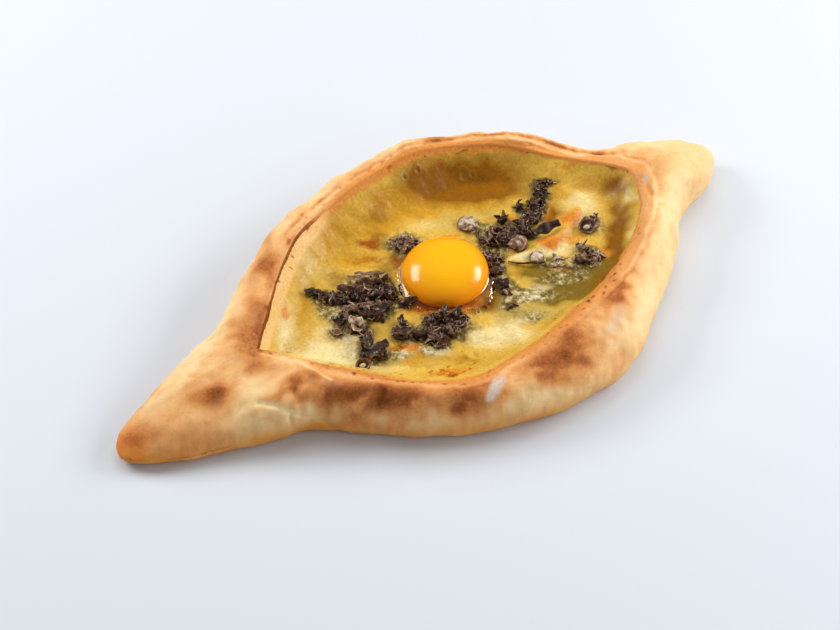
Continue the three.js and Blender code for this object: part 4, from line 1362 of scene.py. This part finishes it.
def cut_caps():
    """Caps cut through, on their backs, with the stem and the rolled edge showing."""
    caps = []
    for x, y, lift, radius, middle, yaw, pitch, roll in CUT_CAPS:
        points, faces = turned_body([(radius * out, radius * up) for out, up in CUT_PROFILE], 40)
        reach = np.linalg.norm(points[:, :2], axis=1) / radius
        tone = np.interp(reach, (0, 0.35, 0.45, 0.7, 0.85, 1), (middle, middle, 0.05, 0.05, 0.3, 0.15))
        points += 0.12 * radius * ripples_each_way(points, 7, (63, 64, 65))
        points = laid_on_cheese(points, x, y, lift, yaw, pitch, roll)
        caps.append((points, faces, tone + 0.05 * ripples(points, 3, 59)))
    return caps


def make_mushrooms(settings):
    """Heaps of chopped mushroom: curled flakes over dark cores, single slices and caps."""
    draw = np.random.default_rng(71)
    cores = [mound_core(mound, CORE_SHARE) for mound in MOUNDS]
    flakes = []
    for x, y, length, width, turn, height, tone in MOUNDS:
        area = math.pi * length * width / 4
        c, s = math.cos(math.radians(turn)), math.sin(math.radians(turn))
        for _ in range(max(5, round(area * settings.flakes_per_area))):
            reach, way = math.sqrt(draw.uniform(0, 0.95)), draw.uniform(0, 2 * math.pi)
            u, v = 0.5 * length * reach * math.cos(way), 0.5 * width * reach * math.sin(way)
            place = (x + c * u - s * v, y + s * u + c * v)
            lift = CORE_SHARE * height * math.sqrt(1 - EDGE_DROP * reach**2)
            lift += draw.uniform(-0.6, 0.5)
            size = draw.choice((0.5, 0.75, 1.0, 1.25), p=(0.34, 0.3, 0.24, 0.12))
            points, faces, edge = curled_strip(
                settings.flake_length / MM * size * draw.uniform(0.85, 1.2),
                settings.flake_width / MM * size * draw.uniform(0.7, 1.25),
                draw.uniform(0.5, 1.0),
                draw.uniform(-2.8, 2.8),
                draw.uniform(-1.2, 1.2),
                draw,
            )
            points = turned(points, draw.uniform(0, 6.28), draw.normal(0, 0.4), draw.normal(0, 0.75))
            points = laid_on_cheese(points, *place, lift)
            # Paler edges: partly cut flesh and partly painted highlight on the rims.
            own = tone + draw.normal(0, 0.09) + 0.6 * edge * draw.uniform(0, 1) ** 2
            flakes.append((points, faces, own))
    for x, y, lift, length, width, thickness, yaw, pitch, roll, bend, tone in SLICES:
        points, faces, edge = curled_strip(
            length, width, thickness, bend, 0.3, draw, steps=26, sides=16
        )
        points = laid_on_cheese(points, x, y, lift, yaw, pitch, roll)
        points += 0.25 * ripples_each_way(points, 4, (55, 56, 57))
        flakes.append((points, faces, tone + 0.2 * edge + 0.06 * ripples(points, 2.5, 58)))
    material = wet_mushroom(settings)
    pieces = (
        ("mushroom_cores", cores, HEAP_NODES),
        ("mushroom_flakes", flakes, HEAP_NODES),
        ("mushroom_caps", whole_caps() + cut_caps(), CAP_NODES),
    )
    for name, parts, nodes in pieces:
        points, faces, tones = joined(parts)
        add_piece(name, points, faces, material, {"tone": tones}, nodes)


# ---------------------------------------------------------------- stage

# In metres, but the lens is in millimetres.
CAMERA_PLACE = (-0.36995, -0.59645, 0.8194)
CAMERA_TARGET = (-0.00626, 0.00144, 0.0)
CAMERA_LENS = 107.14
FLOOR_HALF = 4.0


def aim(thing, place, target):
    """Sets a lamp or a camera at a place, pointing at a target."""
    thing.location = place
    thing.rotation_euler = (Vector(target) - Vector(place)).to_track_quat("-Z", "Y").to_euler()


def add_lamp(name, place, target, width, height, power):
    """A white soft box of light that points at a target."""
    light = bpy.data.lights.new(name, "AREA")
    light.shape = "RECTANGLE"
    light.size, light.size_y = width, height
    light.energy = power
    lamp = add_object(name, light)
    aim(lamp, place, target)
    return lamp


def make_stage(settings):
    """The pale floor, the soft light and the camera."""
    mesh = bpy.data.meshes.new("floor")
    corners = [(FLOOR_HALF * x, FLOOR_HALF * y, 0) for x, y in ((-1, -1), (1, -1), (1, 1), (-1, 1))]
    mesh.from_pydata(corners, [], [(0, 1, 2, 3)])
    mesh.materials.append(pale_floor(settings))
    floor = add_object("floor", mesh)

    middle = (0, 0, 0.02)
    add_lamp("soft_left", (-0.46, 0.63, 0.55), middle, 0.55, 0.32, settings.left_power)
    add_lamp("soft_right", (0.81, -0.15, 0.48), middle, 0.5, 0.3, settings.right_power)
    front = add_lamp("soft_front", (0.5, -0.75, 0.5), middle, 1.0, 0.5, settings.front_power)
    front.visible_glossy = False  # a fill that only softens the shadows
    top = add_lamp("soft_top", (0.25, 0.55, 1.2), (0, 0, 0), 1.3, 0.9, settings.top_power)
    top.visible_glossy = False  # the sheet over the set is too dim to show in the yolk

    world = bpy.data.worlds.new("studio")
    world.use_nodes = True
    background = world.node_tree.nodes["Background"]
    background.inputs["Color"].default_value = (*linear("fff8ef"), 1)
    background.inputs["Strength"].default_value = settings.ambient
    bpy.context.scene.world = world

    camera_data = bpy.data.cameras.new("camera")
    camera_data.lens = CAMERA_LENS
    camera_data.sensor_width = 36
    camera_data.clip_end = 20
    camera = add_object("camera", camera_data)
    aim(camera, CAMERA_PLACE, CAMERA_TARGET)
    bpy.context.scene.camera = camera
    bpy.context.scene.view_settings.view_transform = "Standard"


# ---------------------------------------------------------------- add-on


def colour_property(name, description, hex_colour):
    """A colour that a user may change, given by its sRGB hex value."""
    return FloatVectorProperty(
        name=name,
        description=description,
        subtype="COLOR",
        size=3,
        min=0,
        max=1,
        default=linear(hex_colour),
    )


def length_property(name, description, millimetres):
    """A length that a user may change."""
    return FloatProperty(name=name, description=description, default=millimetres * MM, unit="LENGTH")


def power_property(name, description, watts):
    """The power of a lamp, which a user may change."""
    return FloatProperty(name=name, description=description, default=watts, unit="POWER")


class CrustSettings(bpy.types.PropertyGroup):
    """Sizes and colours of the baked dough."""

    stations: IntProperty(
        name="Stations", description="Points round the boat", default=1000, min=100, max=1200
    )
    lumps: length_property("Lumps", "Height of the hand-rolled unevenness", 1.15)
    pale: colour_property("Pale dough", "Dough that stayed soft", "f8dba2")
    golden: colour_property("Golden dough", "Lightly baked dough", "efb87a")
    tan: colour_property("Tan dough", "Dough baked to a tan", "d89252")
    brown: colour_property("Brown dough", "Browned patches", "aa6230")
    dark: colour_property("Dark dough", "Middle of the darkest patches", "7e4212")
    butter: colour_property("Buttered lip", "Lip that soaked up fat", "e4964a")
    # The foot tint is partly the oven floor's browning and partly painted shade and warm bounce light.
    foot: colour_property("Foot", "Tint of the lower dough", "e6b066")
    flour: colour_property("Flour", "Dusting left on the crust", "d6c4b4")


class CheeseSettings(bpy.types.PropertyGroup):
    """Colours of the melted cheese."""

    stations: IntProperty(
        name="Stations", description="Points round the cheese", default=640, min=100, max=900
    )
    yellow: colour_property("Yellow", "Calm melted cheese", "dcb24a")
    cream: colour_property("Cream", "Thick pale cheese", "ead698")
    beige: colour_property("Beige", "Smooth cheese on the floor", "c2a654")
    # Gold, amber and olive are partly painted shade, on the walls and beside the raised strand.
    gold: colour_property("Gold", "Cheese baked golden", "c89426")
    amber: colour_property("Amber", "Browned wall and egg-soaked cheese", "8e5a04")
    olive: colour_property("Olive", "Thin cheese over what lies below", "826818")
    orange: colour_property("Orange", "Cheese baked orange", "de8a2a")
    rind: colour_property("Rind", "Edge that soaked into the crust", "dc9040")
    strip: colour_property("Strip", "Rolled strip inside the left rim", "f6c47a")
    froth: colour_property("Froth", "Foamed cheese", "d8c896")
    foam_dark: colour_property("Foam dark", "Broth between the foam's grains", "48360a")
    foam_middle: colour_property("Foam middle", "Grains of the foam", "8e7a3c")
    foam_light: colour_property("Foam light", "Bubbles of the foam", "f0e8d4")
    soaked: colour_property("Soaked", "Cheese stained by mushrooms", "66461c")
    toast: colour_property("Toast", "Toasted spots", "9c5206")


class YolkSettings(bpy.types.PropertyGroup):
    """Colours of the yolk."""

    # Crown, middle and deep grade the yolk by height: painted light on top, painted shade underneath.
    crown: colour_property("Crown", "Top of the yolk", "ffb800")
    middle: colour_property("Middle", "Side of the yolk", "ff9c00")
    deep: colour_property("Deep", "Underside of the yolk", "ea8000")
    white_height: length_property("White height", "Depth of the egg white", 2.0)


class MushroomSettings(bpy.types.PropertyGroup):
    """Sizes and colours of the chopped mushrooms."""

    flake_length: length_property("Flake length", "Usual length of a flake", 4.8)
    flake_width: length_property("Flake width", "Usual width of a flake", 2.1)
    flakes_per_area: FloatProperty(
        name="Flakes per area", description="Flakes on each square millimetre", default=0.46
    )
    black: colour_property("Black", "Folds and skins", "180a06")
    brown: colour_property("Brown", "Fried flesh", "46260f")
    taupe: colour_property("Taupe", "Paler flesh", "8a6648")
    # Beige is partly pale flesh and partly painted glints.
    beige: colour_property("Beige", "Palest flesh", "d8c6a8")


class StageSettings(bpy.types.PropertyGroup):
    """Floor and light."""

    floor: colour_property("Floor", "Colour of the floor", "d9dfe8")
    left_power: power_property("Left lamp", "Power of the lamp at the left", 4.8)
    right_power: power_property("Right lamp", "Power of the lamp at the right", 4.8)
    front_power: power_property("Front lamp", "Power of the fill at the front", 3.2)
    top_power: power_property("Top lamp", "Power of the sheet of light", 7.6)
    ambient: FloatProperty(name="Ambient", description="Strength of the light all round", default=0.22)


class KHACHAPURI_OT_crust(bpy.types.Operator):
    """Bake the boat of dough"""

    bl_idname = "khachapuri.crust"
    bl_label = "Baked crust"

    def execute(self, context):
        make_crust(context.scene.khachapuri_crust)
        return {"FINISHED"}


class KHACHAPURI_OT_cheese(bpy.types.Operator):
    """Pour the melted cheese"""

    bl_idname = "khachapuri.cheese"
    bl_label = "Melted cheese"

    def execute(self, context):
        make_cheese(context.scene.khachapuri_cheese)
        return {"FINISHED"}


class KHACHAPURI_OT_yolk(bpy.types.Operator):
    """Lay the raw yolk"""

    bl_idname = "khachapuri.yolk"
    bl_label = "Raw yolk"

    def execute(self, context):
        make_yolk(context.scene.khachapuri_yolk)
        return {"FINISHED"}


class KHACHAPURI_OT_egg_white(bpy.types.Operator):
    """Pool the clear egg white round the yolk"""

    bl_idname = "khachapuri.egg_white"
    bl_label = "Egg white"

    def execute(self, context):
        make_egg_white(context.scene.khachapuri_yolk)
        return {"FINISHED"}


class KHACHAPURI_OT_mushrooms(bpy.types.Operator):
    """Heap the chopped mushrooms"""

    bl_idname = "khachapuri.mushrooms"
    bl_label = "Chopped mushrooms"

    def execute(self, context):
        make_mushrooms(context.scene.khachapuri_mushrooms)
        return {"FINISHED"}


class KHACHAPURI_OT_stage(bpy.types.Operator):
    """Set the floor, the light and the camera"""

    bl_idname = "khachapuri.stage"
    bl_label = "Floor, light and camera"

    def execute(self, context):
        make_stage(context.scene.khachapuri_stage)
        return {"FINISHED"}


OPERATORS = (
    KHACHAPURI_OT_crust,
    KHACHAPURI_OT_cheese,
    KHACHAPURI_OT_yolk,
    KHACHAPURI_OT_egg_white,
    KHACHAPURI_OT_mushrooms,
    KHACHAPURI_OT_stage,
)
SETTINGS = {
    "khachapuri_crust": CrustSettings,
    "khachapuri_cheese": CheeseSettings,
    "khachapuri_yolk": YolkSettings,
    "khachapuri_mushrooms": MushroomSettings,
    "khachapuri_stage": StageSettings,
}


class KHACHAPURI_PT_panel(bpy.types.Panel):
    """Everything that the khachapuri is made of"""

    bl_label = "Khachapuri"
    bl_idname = "KHACHAPURI_PT_panel"
    bl_space_type = "VIEW_3D"
    bl_region_type = "UI"
    bl_category = "Khachapuri"

    def draw(self, context):
        for operator in OPERATORS:
            self.layout.operator(operator.bl_idname)


def register():
    """Registers the settings, the operators and the panel."""
    for name, group in SETTINGS.items():
        bpy.utils.register_class(group)
        setattr(bpy.types.Scene, name, PointerProperty(type=group))
    for operator in OPERATORS:
        bpy.utils.register_class(operator)
    bpy.utils.register_class(KHACHAPURI_PT_panel)


def unregister():
    """Takes back what register made."""
    bpy.utils.unregister_class(KHACHAPURI_PT_panel)
    for operator in reversed(OPERATORS):
        bpy.utils.unregister_class(operator)
    for name, group in SETTINGS.items():
        delattr(bpy.types.Scene, name)
        bpy.utils.unregister_class(group)


def main():
    """Makes every piece in order."""
    register()
    bpy.ops.khachapuri.crust()
    bpy.ops.khachapuri.cheese()
    bpy.ops.khachapuri.yolk()
    bpy.ops.khachapuri.egg_white()
    bpy.ops.khachapuri.mushrooms()
    bpy.ops.khachapuri.stage()


if __name__ == "__main__":
    main()
